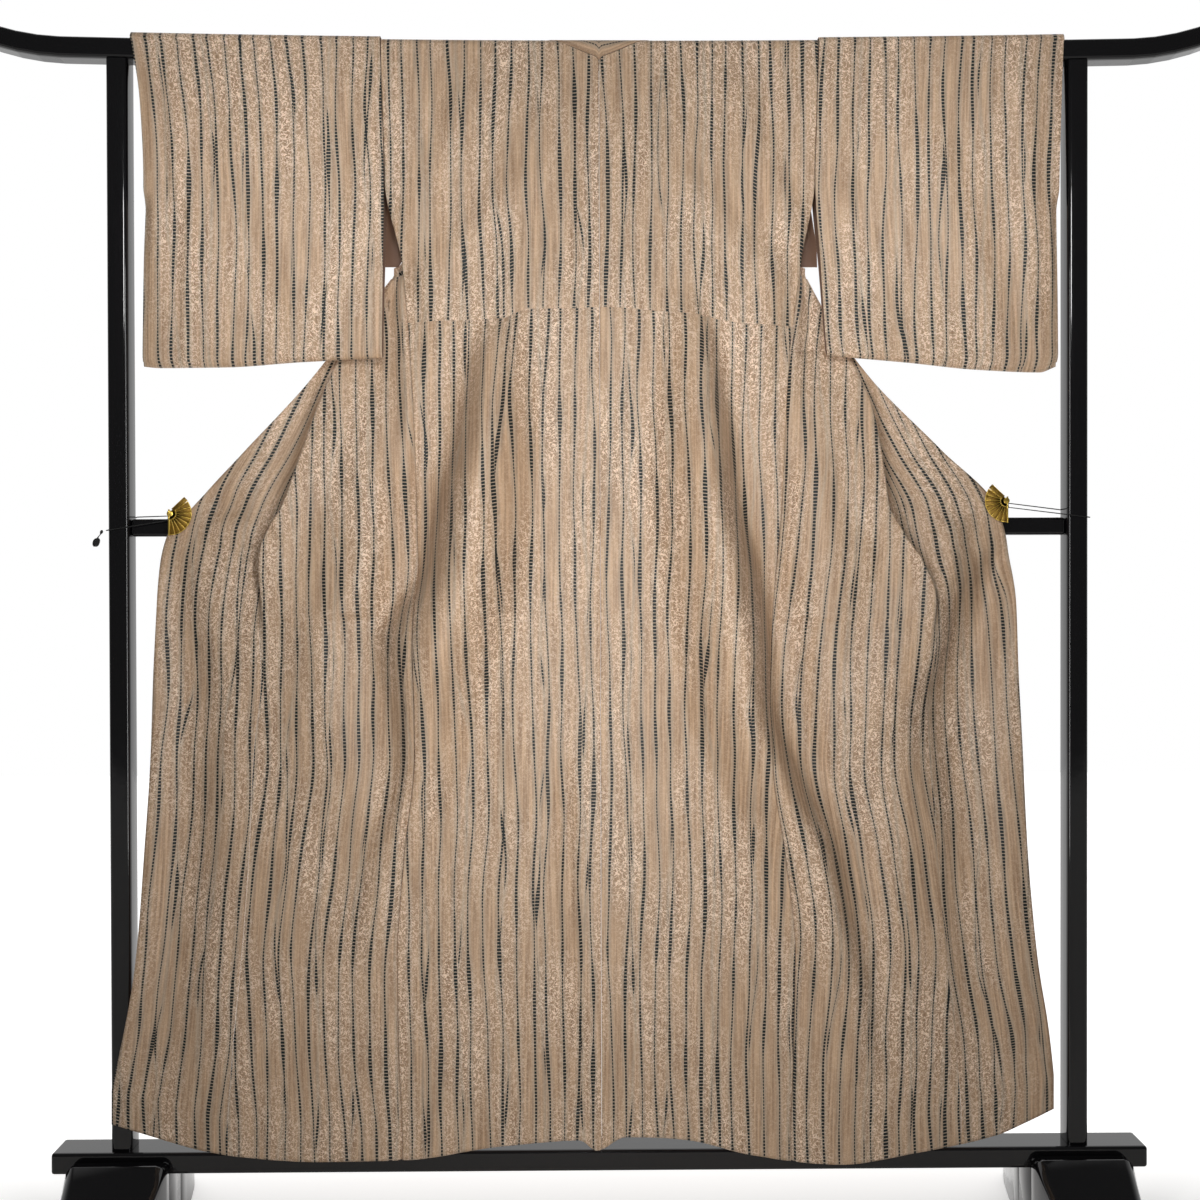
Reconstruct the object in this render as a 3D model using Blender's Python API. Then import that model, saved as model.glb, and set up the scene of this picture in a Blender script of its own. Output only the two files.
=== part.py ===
"""A lined silk kimono hung open, back outward, on a lacquered display stand.

Metres, +Z up, floor at z = 0. The kimono's back faces -Y and its centre seam is at x = 0.
Cloth is a thin wall. Each cloth piece is a grid of points worked out from section tables,
whose reach columns are distances from the centre seam.
"""
import math
from collections import namedtuple

import bmesh
import bpy
from mathutils import Vector

SIDES = {"left": -1, "right": 1}

CLOTH = 0.0015           # wall of the lined silk
SEAM_GAP = 0.0003        # between pieces that are sewn or that touch
SIDE_GAP = 0.0006        # at seams that lie askew
PLEAT_GAP = 0.0020       # at the seam inside the pleat, beside a tight fold

# Stand
POST_REACH = 0.679       # centre of a post from the middle of the stand
POST_WIDTH = 0.030
POST_DEPTH = 0.036
BAR_HEIGHT = 0.030
BAR_DEPTH = 0.036
BAR_MIDDLE_TOP = 1.6945  # the bar sags a little in the middle
BAR_RISE = 0.007         # and is this much higher at the posts
BAR_HALF = 0.920
UPTURN_START = 0.755     # the bar's ends curve up from here
UPTURN = 1.5
CORNER = 0.007           # rounding of the bar's and the posts' long edges
BEAM_TOP = 0.130
BEAM_HEIGHT = 0.030
BEAM_DEPTH = 0.056
BEAM_LENGTH = 1.550
RAIL_TOP = 1.0235
RAIL_HEIGHT = 0.025
RAIL_DEPTH = 0.020
FOOT_HALF_LENGTH = 0.200

# How the cloth lies over the bar
BAR_SLACK = 0.0032       # bar to the middle of the cloth
TURN = 0.0105            # radius of the cloth round the bar's edges
CROWN_HALF = BAR_DEPTH / 2 + BAR_SLACK - TURN
ARC = TURN * math.pi / 2
FACE = BAR_DEPTH / 2 + BAR_SLACK
SHOULDER = 0.308         # where the sleeves are sewn on
HEM = 0.118              # height the hem fades towards
CURL = 0.045             # width of the back that curls in at its side seam
SLEEVE_LIFT = 0.004      # sleeves ride this much above the body


def bar_top(x):
    """Height of the top bar's upper face at x."""
    reach = abs(x)
    rise = BAR_RISE * (reach / POST_REACH) ** 2
    past = max(0.0, reach - UPTURN_START)
    return BAR_MIDDLE_TOP + rise + UPTURN * past * past


def read(table, column, at, key="height"):
    """A column of a table at a height or reach, smooth between its rows and flat past its ends."""
    rows = sorted(table, key=lambda row: getattr(row, key))
    xs = [getattr(row, key) for row in rows]
    ys = [getattr(row, column) for row in rows]
    if at <= xs[0]:
        return ys[0]
    if at >= xs[-1]:
        return ys[-1]
    slopes = [(ys[i + 1] - ys[i]) / (xs[i + 1] - xs[i]) for i in range(len(xs) - 1)]

    def tangent(i):
        if i == 0 or i == len(xs) - 1:
            return slopes[min(i, len(slopes) - 1)]
        before, after = slopes[i - 1], slopes[i]
        return 0.0 if before * after <= 0 else 2 * before * after / (before + after)

    i = next(k for k in range(len(slopes)) if at <= xs[k + 1])
    span = xs[i + 1] - xs[i]
    t = (at - xs[i]) / span
    return ((2 * t ** 3 - 3 * t ** 2 + 1) * ys[i] + (t ** 3 - 2 * t ** 2 + t) * span * tangent(i)
            + (3 * t ** 2 - 2 * t ** 3) * ys[i + 1] + (t ** 3 - t ** 2) * span * tangent(i + 1))


# Back panel and opened front, at each height: the side seam, the edge of the cloth that hangs
# from it (lower down, the seam of the overlap panel), how deep the pleat behind that edge is,
# and the front edge. Above the clips the front edge is the seam of the collar.
Skirt = namedtuple("Skirt", "height side overlap pleat front")
SKIRT = {
    "left": [
        Skirt(1.372, 0.278, 0.291, 0.012, 0.295),
        Skirt(1.300, 0.270, 0.336, 0.050, 0.352),
        Skirt(1.242, 0.267, 0.375, 0.080, 0.398),
        Skirt(1.180, 0.263, 0.399, 0.068, 0.451),
        Skirt(1.117, 0.261, 0.418, 0.052, 0.505),
        Skirt(1.040, 0.259, 0.442, 0.030, 0.572),
        Skirt(1.000, 0.258, 0.466, 0.014, 0.608),
        Skirt(0.960, 0.257, 0.474, 0.004, 0.617),
        Skirt(0.900, 0.257, 0.476, 0.000, 0.621),
        Skirt(0.800, 0.257, 0.472, 0.000, 0.626),
        Skirt(0.690, 0.258, 0.483, 0.000, 0.630),
        Skirt(0.550, 0.275, 0.490, 0.000, 0.640),
        Skirt(0.400, 0.286, 0.502, 0.000, 0.652),
        Skirt(0.280, 0.285, 0.513, 0.000, 0.668),
        Skirt(0.170, 0.280, 0.521, 0.000, 0.686),
    ],
    "right": [
        Skirt(1.372, 0.285, 0.293, 0.012, 0.297),
        Skirt(1.300, 0.273, 0.330, 0.050, 0.336),
        Skirt(1.242, 0.268, 0.362, 0.075, 0.375),
        Skirt(1.180, 0.264, 0.387, 0.066, 0.431),
        Skirt(1.117, 0.261, 0.396, 0.056, 0.489),
        Skirt(1.040, 0.257, 0.403, 0.042, 0.560),
        Skirt(1.000, 0.254, 0.424, 0.030, 0.573),
        Skirt(0.960, 0.251, 0.448, 0.010, 0.580),
        Skirt(0.900, 0.246, 0.467, 0.002, 0.586),
        Skirt(0.800, 0.239, 0.457, 0.000, 0.589),
        Skirt(0.690, 0.235, 0.460, 0.000, 0.595),
        Skirt(0.550, 0.256, 0.471, 0.000, 0.602),
        Skirt(0.400, 0.273, 0.484, 0.000, 0.615),
        Skirt(0.280, 0.271, 0.496, 0.000, 0.629),
        Skirt(0.170, 0.267, 0.504, 0.000, 0.638),
    ],
}

# How far towards +Y each layer hangs at each height
Depth = namedtuple("Depth", "height back seam hanging overlap")
DEPTH = [
    Depth(1.690, -0.0205, -0.0205, 0.0100, 0.0205),
    Depth(1.500, -0.0215, -0.0205, 0.0080, 0.0180),
    Depth(1.372, -0.0235, -0.0130, 0.0050, 0.0165),
    Depth(1.300, -0.0245, -0.0150, 0.0030, 0.0150),
    Depth(1.242, -0.0255, -0.0180, -0.0020, 0.0100),
    Depth(1.180, -0.0265, -0.0220, -0.0100, 0.0030),
    Depth(1.117, -0.0275, -0.0250, -0.0210, -0.0085),
    Depth(1.070, -0.0290, -0.0275, -0.0310, -0.0200),
    Depth(1.040, -0.0295, -0.0290, -0.0340, -0.0232),
    Depth(1.000, -0.0305, -0.0305, -0.0360, -0.0245),
    Depth(0.900, -0.0320, -0.0325, -0.0350, -0.0345),
    Depth(0.600, -0.0345, -0.0345, -0.0350, -0.0350),
    Depth(0.100, -0.0370, -0.0370, -0.0370, -0.0370),
]

# The hem's height along its run, signed reach
Hem = namedtuple("Hem", "reach height")
HEM_LINE = [
    Hem(-0.686, 0.175), Hem(-0.625, 0.156), Hem(-0.556, 0.136), Hem(-0.511, 0.128),
    Hem(-0.390, 0.120), Hem(-0.284, 0.121), Hem(-0.142, 0.140), Hem(-0.031, 0.148),
    Hem(-0.007, 0.133), Hem(0.034, 0.152), Hem(0.123, 0.147), Hem(0.212, 0.125),
    Hem(0.331, 0.111), Hem(0.449, 0.128), Hem(0.554, 0.150), Hem(0.638, 0.188),
]

# The largest folds of the hanging cloth, as ridges (deep > 0, towards -Y) and troughs
Fold = namedtuple("Fold", "top_x top_z low_x low_z half deep")
FOLDS = [
    Fold(-0.150, 1.310, -0.240, 0.240, 0.050, 0.011),
    Fold(-0.190, 1.250, -0.262, 0.800, 0.045, -0.009),
    Fold(-0.330, 1.150, -0.330, 0.700, 0.060, 0.006),
    Fold(0.145, 1.300, 0.262, 0.250, 0.050, 0.011),
    Fold(0.200, 1.100, 0.246, 0.700, 0.040, -0.009),
    Fold(0.330, 1.120, 0.350, 0.600, 0.065, 0.006),
    Fold(-0.020, 1.200, -0.032, 0.200, 0.030, 0.004),
    Fold(-0.570, 0.900, -0.590, 0.200, 0.045, 0.005),
    Fold(0.520, 0.940, 0.480, 0.620, 0.040, -0.007),
]


def smooth(t):
    """Eases 0 to 1."""
    t = min(1.0, max(0.0, t))
    return t * t * (3 - 2 * t)


def fold_depth(x, z):
    """How far the folds push the cloth towards -Y at a place on the hanging cloth."""
    total = 0.0
    for fold in FOLDS:
        along = (fold.top_z - z) / (fold.top_z - fold.low_z)
        if not 0.0 < along < 1.0:
            continue
        middle = fold.top_x + (fold.low_x - fold.top_x) * along
        across = abs(x - middle) / fold.half
        if across < 1.0:
            total += fold.deep * smooth(1 - across) * smooth(4 * along) * smooth(4 * (1 - along))
    return total


def fade_to_hem(x, z):
    """Lowers or lifts a height near the hem, so that the lowest row follows the hem line."""
    share = smooth((0.45 - z) / (0.45 - HEM))
    return z + (read(HEM_LINE, "height", x, key="reach") - HEM) * share


def over_bar(x, run, lift=0.0):
    """A point of cloth lying over the bar: run is the length from the crown, - to the back."""
    way = 1 if run >= 0 else -1
    run = abs(run)
    crown = bar_top(x) + BAR_SLACK + lift
    if run <= CROWN_HALF:
        return Vector((x, way * run, crown))
    if run <= CROWN_HALF + ARC:
        turn = (run - CROWN_HALF) / TURN
        return Vector((x, way * (CROWN_HALF + TURN * math.sin(turn)),
                       crown - TURN + TURN * math.cos(turn)))
    return Vector((x, way * FACE, crown - TURN - (run - CROWN_HALF - ARC)))


def spread(start, end, steps):
    """Evenly spaced values from start to end, both included."""
    return [start + (end - start) * i / steps for i in range(steps + 1)]


# --- building blocks ---------------------------------------------------------------------

def material(name, colour, roughness, metallic=0.0):
    """A plain Principled material."""
    made = bpy.data.materials.new(name)
    made.use_nodes = True
    shader = made.node_tree.nodes["Principled BSDF"]
    shader.inputs["Base Color"].default_value = (*colour, 1.0)
    shader.inputs["Roughness"].default_value = roughness
    shader.inputs["Metallic"].default_value = metallic
    made.diffuse_color = (*colour, 1.0)
    return made


def add_object(name, mesh, finish, parent):
    """Puts a mesh in the scene under its stand or garment empty."""
    made = bpy.data.objects.new(name, mesh)
    bpy.context.collection.objects.link(made)
    made.data.materials.append(finish)
    made.parent = parent
    return made


def close_and_store(name, bm):
    """Turns the faces outward and stores the mesh, shaded smooth with sharp edges kept."""
    bmesh.ops.recalc_face_normals(bm, faces=bm.faces)
    mesh = bpy.data.meshes.new(name)
    bm.to_mesh(mesh)
    bm.free()
    mesh.shade_smooth()
    mesh.set_sharp_from_angle(angle=math.radians(40))
    return mesh


def add_wall(made):
    """Gives a sheet of cloth its thickness, half to each side."""
    wall = made.modifiers.new("wall", "SOLIDIFY")
    wall.thickness = CLOTH
    wall.offset = 0.0
    wall.use_even_offset = True


def add_cloth(name, rows, finish, parent):
    """A wall of cloth whose middle is the grid of rows."""
    bm = bmesh.new()
    grid = [[bm.verts.new(point) for point in row] for row in rows]
    for upper, lower in zip(grid, grid[1:]):
        for i in range(len(upper) - 1):
            bm.faces.new((upper[i], upper[i + 1], lower[i + 1], lower[i]))
    add_wall(add_object(name, close_and_store(name, bm), finish, parent))


def add_sections(name, rings, finish, parent):
    """A closed solid through rings of equally many points."""
    bm = bmesh.new()
    loops = [[bm.verts.new(point) for point in ring] for ring in rings]
    for near, far in zip(loops, loops[1:]):
        for i in range(len(near)):
            j = (i + 1) % len(near)
            bm.faces.new((near[i], near[j], far[j], far[i]))
    bm.faces.new(loops[0])
    bm.faces.new(loops[-1])
    return add_object(name, close_and_store(name, bm), finish, parent)


def add_box(name, size, centre, rounding, finish, parent):
    """A box with rounded edges."""
    bm = bmesh.new()
    bmesh.ops.create_cube(bm, size=1.0)
    bmesh.ops.scale(bm, vec=size, verts=bm.verts)
    made = add_object(name, close_and_store(name, bm), finish, parent)
    made.location = centre
    bevel = made.modifiers.new("rounding", "BEVEL")
    bevel.width = rounding
    bevel.segments = 3
    return made


def rounded_section(width, height, radius, steps=4):
    """Points round a rectangle with rounded corners, centred on the origin."""
    points = []
    for corner, (side_x, side_y) in enumerate(((1, 1), (-1, 1), (-1, -1), (1, -1))):
        for turn in spread(0, math.pi / 2, steps):
            angle = corner * math.pi / 2 + turn
            points.append((side_x * (width / 2 - radius) + radius * math.cos(angle),
                           side_y * (height / 2 - radius) + radius * math.sin(angle)))
    return points


# --- the garment ---------------------------------------------------------------------------

# A sleeve: its inner edge, cuff edge and lower edge
Edges = namedtuple("Edges", "height inner_left inner_right cuff_left cuff_right")
SLEEVE = [
    Edges(1.706, 0.3080, 0.3110, 0.658, 0.658), Edges(1.610, 0.3055, 0.3085, 0.645, 0.654),
    Edges(1.500, 0.3025, 0.3050, 0.640, 0.651), Edges(1.386, 0.3040, 0.3120, 0.642, 0.650),
    Edges(1.255, 0.3060, 0.3210, 0.643, 0.650), Edges(1.228, 0.3060, 0.3240, 0.640, 0.644),
]
Bottom = namedtuple("Bottom", "share left right")
BOTTOM = [
    Bottom(0.00, 1.250, 1.253), Bottom(0.35, 1.244, 1.243), Bottom(0.65, 1.237, 1.233),
    Bottom(0.94, 1.236, 1.229), Bottom(1.00, 1.238, 1.237),
]
# How far towards +Y the two layers of a sleeve hang at each height
Bag = namedtuple("Bag", "height back front")
BAG = [
    Bag(1.690, -0.0205, 0.0205), Bag(1.500, -0.0215, 0.0140), Bag(1.372, -0.0225, -0.0020),
    Bag(1.250, -0.0235, -0.0100),
]
SLEEVE_END = 1.500       # height where the sleeve leaves the body
SLEEVE_COLUMNS = 6
SLEEVE_ROWS = 12
CUFF_OPENING = 0.225     # length of the open cuff below the bar

# The neckline of a body panel, from the back seam to the collar's seam on the front: the run
# and reach of the panel's inner end, against the run of its outer end at the sleeve
Neckline = namedtuple("Neckline", "outer_run run reach")
NECKLINE = [
    Neckline(-0.0400, -0.0480, 0.000), Neckline(-0.0330, -0.0425, 0.004),
    Neckline(-0.0265, -0.0370, 0.018), Neckline(-0.0180, -0.0290, 0.037),
    Neckline(-0.0100, -0.0190, 0.058), Neckline(0.0000, -0.0070, 0.079),
    Neckline(0.0100, 0.0070, 0.090), Neckline(0.0180, 0.0165, 0.096),
    Neckline(0.0265, 0.0265, 0.100), Neckline(0.0400, 0.0400, 0.106),
]
YOKE_RUNS = [-0.0400, -0.0265, -0.0225, -0.0180, -0.0140, -0.0100, 0.0, 0.0100, 0.0140,
             0.0180, 0.0225, 0.0265, 0.0400]

# The front's upper end on the far side, down to where it goes behind the pleat
Chest = namedtuple("Chest", "height collar sleeve")
CHEST = [
    Chest(1.650, 0.113, 0.3060), Chest(1.600, 0.147, 0.3045), Chest(1.550, 0.182, 0.3030),
    Chest(1.500, 0.214, 0.3020), Chest(1.450, 0.247, 0.3080), Chest(1.410, 0.272, 0.3135),
    Chest(1.385, 0.288, 0.3140),
]
FRONT_TOP = 1.368
FRONT_ROWS = 22
UPPER_ROWS = 6
PANEL_COLUMNS = 8


def back_reach(side, z):
    """The outer edge of a back panel: sleeve seam above, side seam below."""
    if z >= SLEEVE_END:
        return read(SLEEVE, "inner_" + side, z)
    lower = read(SKIRT[side], "side", z)
    share = smooth((z - FRONT_TOP) / (SLEEVE_END - FRONT_TOP))
    return lower + (read(SLEEVE, "inner_" + side, SLEEVE_END) - lower) * share


def back_point(side, x, z):
    """A point of a back panel, hanging in front of the stand and curling in at its side seam."""
    depth = read(DEPTH, "back", z)
    curl = smooth((abs(x) - back_reach(side, z) + CURL) / CURL)
    depth += (read(DEPTH, "seam", z) - depth) * curl
    return Vector((x, depth - fold_depth(x, z), fade_to_hem(x, z)))


def body_rows(side):
    """Rows of a body panel: back hem, up over the bar, and down to the front's pleat."""
    way = SIDES[side]
    rows = []
    heights = spread(HEM, FRONT_TOP, FRONT_ROWS) + spread(FRONT_TOP, 1.640, UPPER_ROWS)[1:]
    for z in heights:
        edge = back_reach(side, z) - SEAM_GAP / 2
        rows.append([back_point(side, way * reach, z)
                     for reach in spread(SEAM_GAP / 2, edge, PANEL_COLUMNS)])
    for outer_run in YOKE_RUNS:
        run = read(NECKLINE, "run", outer_run, key="outer_run")
        inner = max(read(NECKLINE, "reach", outer_run, key="outer_run"), SEAM_GAP / 2)
        outer = read(SLEEVE, "inner_" + side, bar_top(SHOULDER) - abs(outer_run)) - SEAM_GAP
        rows.append([over_bar(way * (inner + (outer - inner) * t), run + (outer_run - run) * t)
                     for t in spread(0, 1, PANEL_COLUMNS)])
    for end in CHEST:
        depth = read(DEPTH, "overlap", end.height)
        rows.append([Vector((way * reach, depth, end.height))
                     for reach in spread(end.collar, end.sleeve - SEAM_GAP, PANEL_COLUMNS)])
    return rows


LAYER_COLUMNS = 7        # across the hanging part of the front
TURN_COLUMNS = 3         # round each fold of the pleat
UNDER_COLUMNS = 3        # across the front's layer inside the pleat
OVERLAP_COLUMNS = 5
PLEAT_OPENS = 0.970      # below this height the pleat's folds unroll
PLEAT_OPEN = 0.857
LEAST_LAYER = 0.003      # of the layer inside the pleat


def pleat_fold(z):
    """The angle and radius of the pleat's folds at a height; their length stays the same."""
    held = max(z, PLEAT_OPENS)
    length = math.pi * (read(DEPTH, "overlap", held) - read(DEPTH, "hanging", held)) / 4
    share = min(1.0, max(0.0, (z - PLEAT_OPEN) / (PLEAT_OPENS - PLEAT_OPEN)))
    angle = max(math.pi * share, 0.001)
    return angle, length / angle


def hanging_depth(side, reach, z):
    """How far towards +Y the opened front hangs, from the side seam outward."""
    start = read(SKIRT[side], "side", z)
    width = min(0.030, 0.6 * (read(SKIRT[side], "overlap", z) - start))
    seam = read(DEPTH, "seam", z)
    return seam + (read(DEPTH, "hanging", z) - seam) * smooth((reach - start) / width)


def front_path(side, z):
    """The opened front at one height: from the side seam outward, then back into the pleat."""
    start = read(SKIRT[side], "side", z) + SIDE_GAP / 2
    edge = read(SKIRT[side], "overlap", z)
    angle, radius = pleat_fold(z)
    turn_from = edge - radius * math.sin(min(angle, math.pi / 2))
    outer = hanging_depth(side, edge, z)
    path = [(reach, hanging_depth(side, reach, z))
            for reach in spread(start, turn_from, LAYER_COLUMNS)]
    path += [(turn_from + radius * math.sin(turn), outer + radius * (1 - math.cos(turn)))
             for turn in spread(0, angle, TURN_COLUMNS)[1:]]
    under = max(read(SKIRT[side], "pleat", z) - radius, LEAST_LAYER)
    last_reach, last_depth = path[-1]
    return path + [(last_reach + part * math.cos(angle), last_depth + part * math.sin(angle))
                   for part in spread(0, under, UNDER_COLUMNS)[1:]]


def overlap_path(side, z):
    """The overlap panel at one height: out of the pleat and outward to its edge."""
    angle, radius = pleat_fold(z)
    last_reach, last_depth = front_path(side, z)[-1]
    seam_reach = last_reach + PLEAT_GAP * math.cos(angle)
    seam_depth = last_depth + PLEAT_GAP * math.sin(angle)
    turn = [(seam_reach + radius * (math.sin(angle) - math.sin(angle - part)),
             seam_depth + radius * (math.cos(angle - part) - math.cos(angle)))
            for part in spread(0, angle, TURN_COLUMNS)]
    end = read(SKIRT[side], "front", z)
    reach, depth = turn[-1]
    settled = read(DEPTH, "overlap", z)
    return turn + [(reach + (end - reach) * t, depth + (settled - depth) * smooth(2 * t))
                   for t in spread(0, 1, OVERLAP_COLUMNS)[1:]]


def hang(side, reach, depth, z):
    """A point of the opened front, with its folds and the hem's line."""
    x = SIDES[side] * reach
    return Vector((x, depth - fold_depth(x, z), fade_to_hem(x, z)))


def skirt_rows(side, path):
    """Rows of the opened front or the overlap, from under the sleeve to the hem."""
    return [[hang(side, reach, depth, z) for reach, depth in path(side, z)]
            for z in spread(FRONT_TOP, HEM, FRONT_ROWS)]


def sleeve_half(side, share, way):
    """One layer of a sleeve at a share of its width, from beside the crown to beside the fold."""
    low = read(BOTTOM, side, share, key="share")
    layer = "back" if way < 0 else "front"
    radius = (read(BAG, "front", low) - read(BAG, "back", low)) / 2
    middle = (read(BAG, "front", low) + read(BAG, "back", low)) / 2

    def x_at(z):
        inner = read(SLEEVE, "inner_" + side, z) + SEAM_GAP / 2
        return SIDES[side] * (inner + (read(SLEEVE, "cuff_" + side, z) - inner) * share)

    crown_x = x_at(SLEEVE[0].height)
    points = [over_bar(crown_x, way * run, SLEEVE_LIFT)
              for run in (CROWN_HALF * 0.6, CROWN_HALF + ARC * 0.25, CROWN_HALF + ARC * 0.7)]
    top = over_bar(crown_x, CROWN_HALF + ARC + 0.004, SLEEVE_LIFT).z
    points += [Vector((x_at(z), read(BAG, layer, z), z))
               for z in spread(top, low + radius, SLEEVE_ROWS)]
    for turn in (math.pi / 6, math.pi / 3):
        points.append(Vector((x_at(low), middle + way * radius * math.cos(turn),
                              low + radius * (1 - math.sin(turn)))))
    return points


def sleeve_ring(side, share):
    """Once round a sleeve: the crown, down the back layer, the lower fold, up the front layer."""
    low = read(BOTTOM, side, share, key="share")
    back = sleeve_half(side, share, -1)
    front = sleeve_half(side, share, 1)
    crown = over_bar(back[0].x, 0.0, SLEEVE_LIFT)
    middle = (read(BAG, "front", low) + read(BAG, "back", low)) / 2
    fold = Vector((back[-1].x, middle, low))
    return [crown] + back + [fold] + front[::-1]


def add_sleeve(side, finish, parent):
    """A flat tube hung over the bar, its outer edge sewn shut below the open cuff."""
    bm = bmesh.new()
    grid = [[bm.verts.new(point) for point in sleeve_ring(side, share)]
            for share in spread(0, 1, SLEEVE_COLUMNS)]
    count = len(grid[0])
    for near, far in zip(grid, grid[1:]):
        for i in range(count):
            j = (i + 1) % count
            bm.faces.new((near[i], near[j], far[j], far[i]))
    edge = grid[-1]
    shut = [(edge[i], edge[count - i]) for i in range(1, count // 2)
            if edge[i].co.z < BAR_MIDDLE_TOP - CUFF_OPENING]
    for (back_a, front_a), (back_b, front_b) in zip(shut, shut[1:]):
        bm.faces.new((back_a, back_b, front_b, front_a))
    bm.faces.new((shut[-1][0], edge[count // 2], shut[-1][1]))
    name = "sleeve_" + side
    add_wall(add_object(name, close_and_store(name, bm), finish, parent))


# Half of the collar's neck part: the place along the neckline, and its free edge
Neck = namedtuple("Neck", "outer_run free_run free")
NECK = [
    Neck(-0.0400, 0.0175, 0.000), Neck(-0.0330, 0.0180, 0.003), Neck(-0.0265, 0.0195, 0.015),
    Neck(-0.0180, 0.0225, 0.029), Neck(-0.0140, 0.0250, 0.036), Neck(-0.0100, 0.0280, 0.042),
    Neck(-0.0050, 0.0310, 0.046), Neck(0.0000, 0.0340, 0.049), Neck(0.0100, 0.0430, 0.053),
    Neck(0.0180, 0.0530, 0.056), Neck(0.0265, 0.0620, 0.060), Neck(0.0400, 0.0736, 0.063),
]
COLLAR_WIDTH = 0.055
COLLAR_COLUMNS = 9
COLLAR_GAP = 0.0012      # from the edge it is sewn to, whose walls lean
COLLAR_BEHIND = 0.0030   # where it is folded behind the overlap
COLLAR_LIFT = 0.0015     # where it lies over the bar
COLLAR_SLANT = math.radians(38)      # of the collar's line, from upright
COLLAR_ENDS = {"left": 1.024, "right": 1.036}
ARM_HEIGHTS = [1.65, 1.57, 1.50, 1.44, 1.40, 1.36, 1.31, 1.25, 1.19, 1.13, 1.075]


def collar_seam(side, z):
    """Reach of the collar's seam at a height: the chest's edge above, the overlap's below."""
    if z > CHEST[-1].height:
        return read(CHEST, "collar", z)
    return read(SKIRT[side], "front", z)


def collar_half(side):
    """Rows of the collar from the back of the neck to the clip."""
    way = SIDES[side]
    rows = []
    for place in NECK:
        run = read(NECKLINE, "run", place.outer_run, key="outer_run") + COLLAR_GAP
        sewn = max(read(NECKLINE, "reach", place.outer_run, key="outer_run") - COLLAR_GAP, 0.0)
        rows.append([over_bar(way * (sewn + (place.free - sewn) * t),
                              run + (place.free_run - run) * t, COLLAR_LIFT)
                     for t in spread(0, 1, COLLAR_COLUMNS)])
    for z in ARM_HEIGHTS + [COLLAR_ENDS[side]]:
        behind = COLLAR_BEHIND * smooth((1.46 - z) / 0.06)
        depth = read(DEPTH, "overlap", z) + behind
        sewn = collar_seam(side, z) - COLLAR_GAP
        rows.append([Vector((way * (sewn - width * math.cos(COLLAR_SLANT)), depth,
                             z - width * math.sin(COLLAR_SLANT)))
                     for width in spread(0, COLLAR_WIDTH, COLLAR_COLUMNS)])
    return rows


def add_garment(parent):
    """Every piece that a maker would cut and sew."""
    silk = material("silk", (0.56, 0.41, 0.29), 0.5)
    for side in SIDES:
        add_cloth("body_" + side, body_rows(side), silk, parent)
        add_cloth("front_" + side, skirt_rows(side, front_path), silk, parent)
        add_cloth("overlap_" + side, skirt_rows(side, overlap_path), silk, parent)
        add_sleeve(side, silk, parent)
    add_cloth("collar", collar_half("left")[:0:-1] + collar_half("right"), silk, parent)


# --- the stand -------------------------------------------------------------------------------

def add_top_bar(finish, parent):
    """The bar the kimono hangs on, its ends curving up."""
    section = rounded_section(BAR_DEPTH, BAR_HEIGHT, CORNER)
    inner = spread(-0.74, 0.74, 12)
    outer = [0.76, 0.79, 0.82, 0.85, 0.88, 0.905]
    places = [(-x, 1.0) for x in outer[::-1]] + [(x, 1.0) for x in inner]
    places += [(x, 1.0) for x in outer]
    places = [(-BAR_HALF, 0.55), (-BAR_HALF + 0.005, 0.86)] + places
    places += [(BAR_HALF - 0.005, 0.86), (BAR_HALF, 0.55)]
    rings = [[Vector((x, y * size, bar_top(x) - BAR_HEIGHT / 2 + z * size)) for y, z in section]
             for x, size in places]
    add_sections("top_bar", rings, finish, parent)


# A foot from its middle to its toe: the beam lies in a notch in the middle
Foot = namedtuple("Foot", "out width eave ridge flat")
FOOT = [
    Foot(0.0000, 0.140, 0.0700, 0.0997, 0.138), Foot(0.0283, 0.140, 0.0700, 0.0997, 0.138),
    Foot(0.0284, 0.138, 0.0700, 0.1180, 0.080), Foot(0.0500, 0.134, 0.0640, 0.1120, 0.040),
    Foot(0.0800, 0.128, 0.0520, 0.0960, 0.012), Foot(0.1200, 0.118, 0.0360, 0.0690, 0.008),
    Foot(0.1600, 0.106, 0.0230, 0.0450, 0.006), Foot(0.1900, 0.094, 0.0160, 0.0300, 0.006),
    Foot(FOOT_HALF_LENGTH, 0.080, 0.0100, 0.0180, 0.006),
]


def foot_ring(foot, way, centre):
    """One cross section of a foot: a roof shape on a flat base."""
    half, flat, y = foot.width / 2, foot.flat / 2, way * foot.out
    outline = [(-half, 0.0), (half, 0.0), (half, foot.eave), (flat, foot.ridge),
               (-flat, foot.ridge), (-half, foot.eave)]
    return [Vector((centre + x, y, z)) for x, z in outline]


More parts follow.
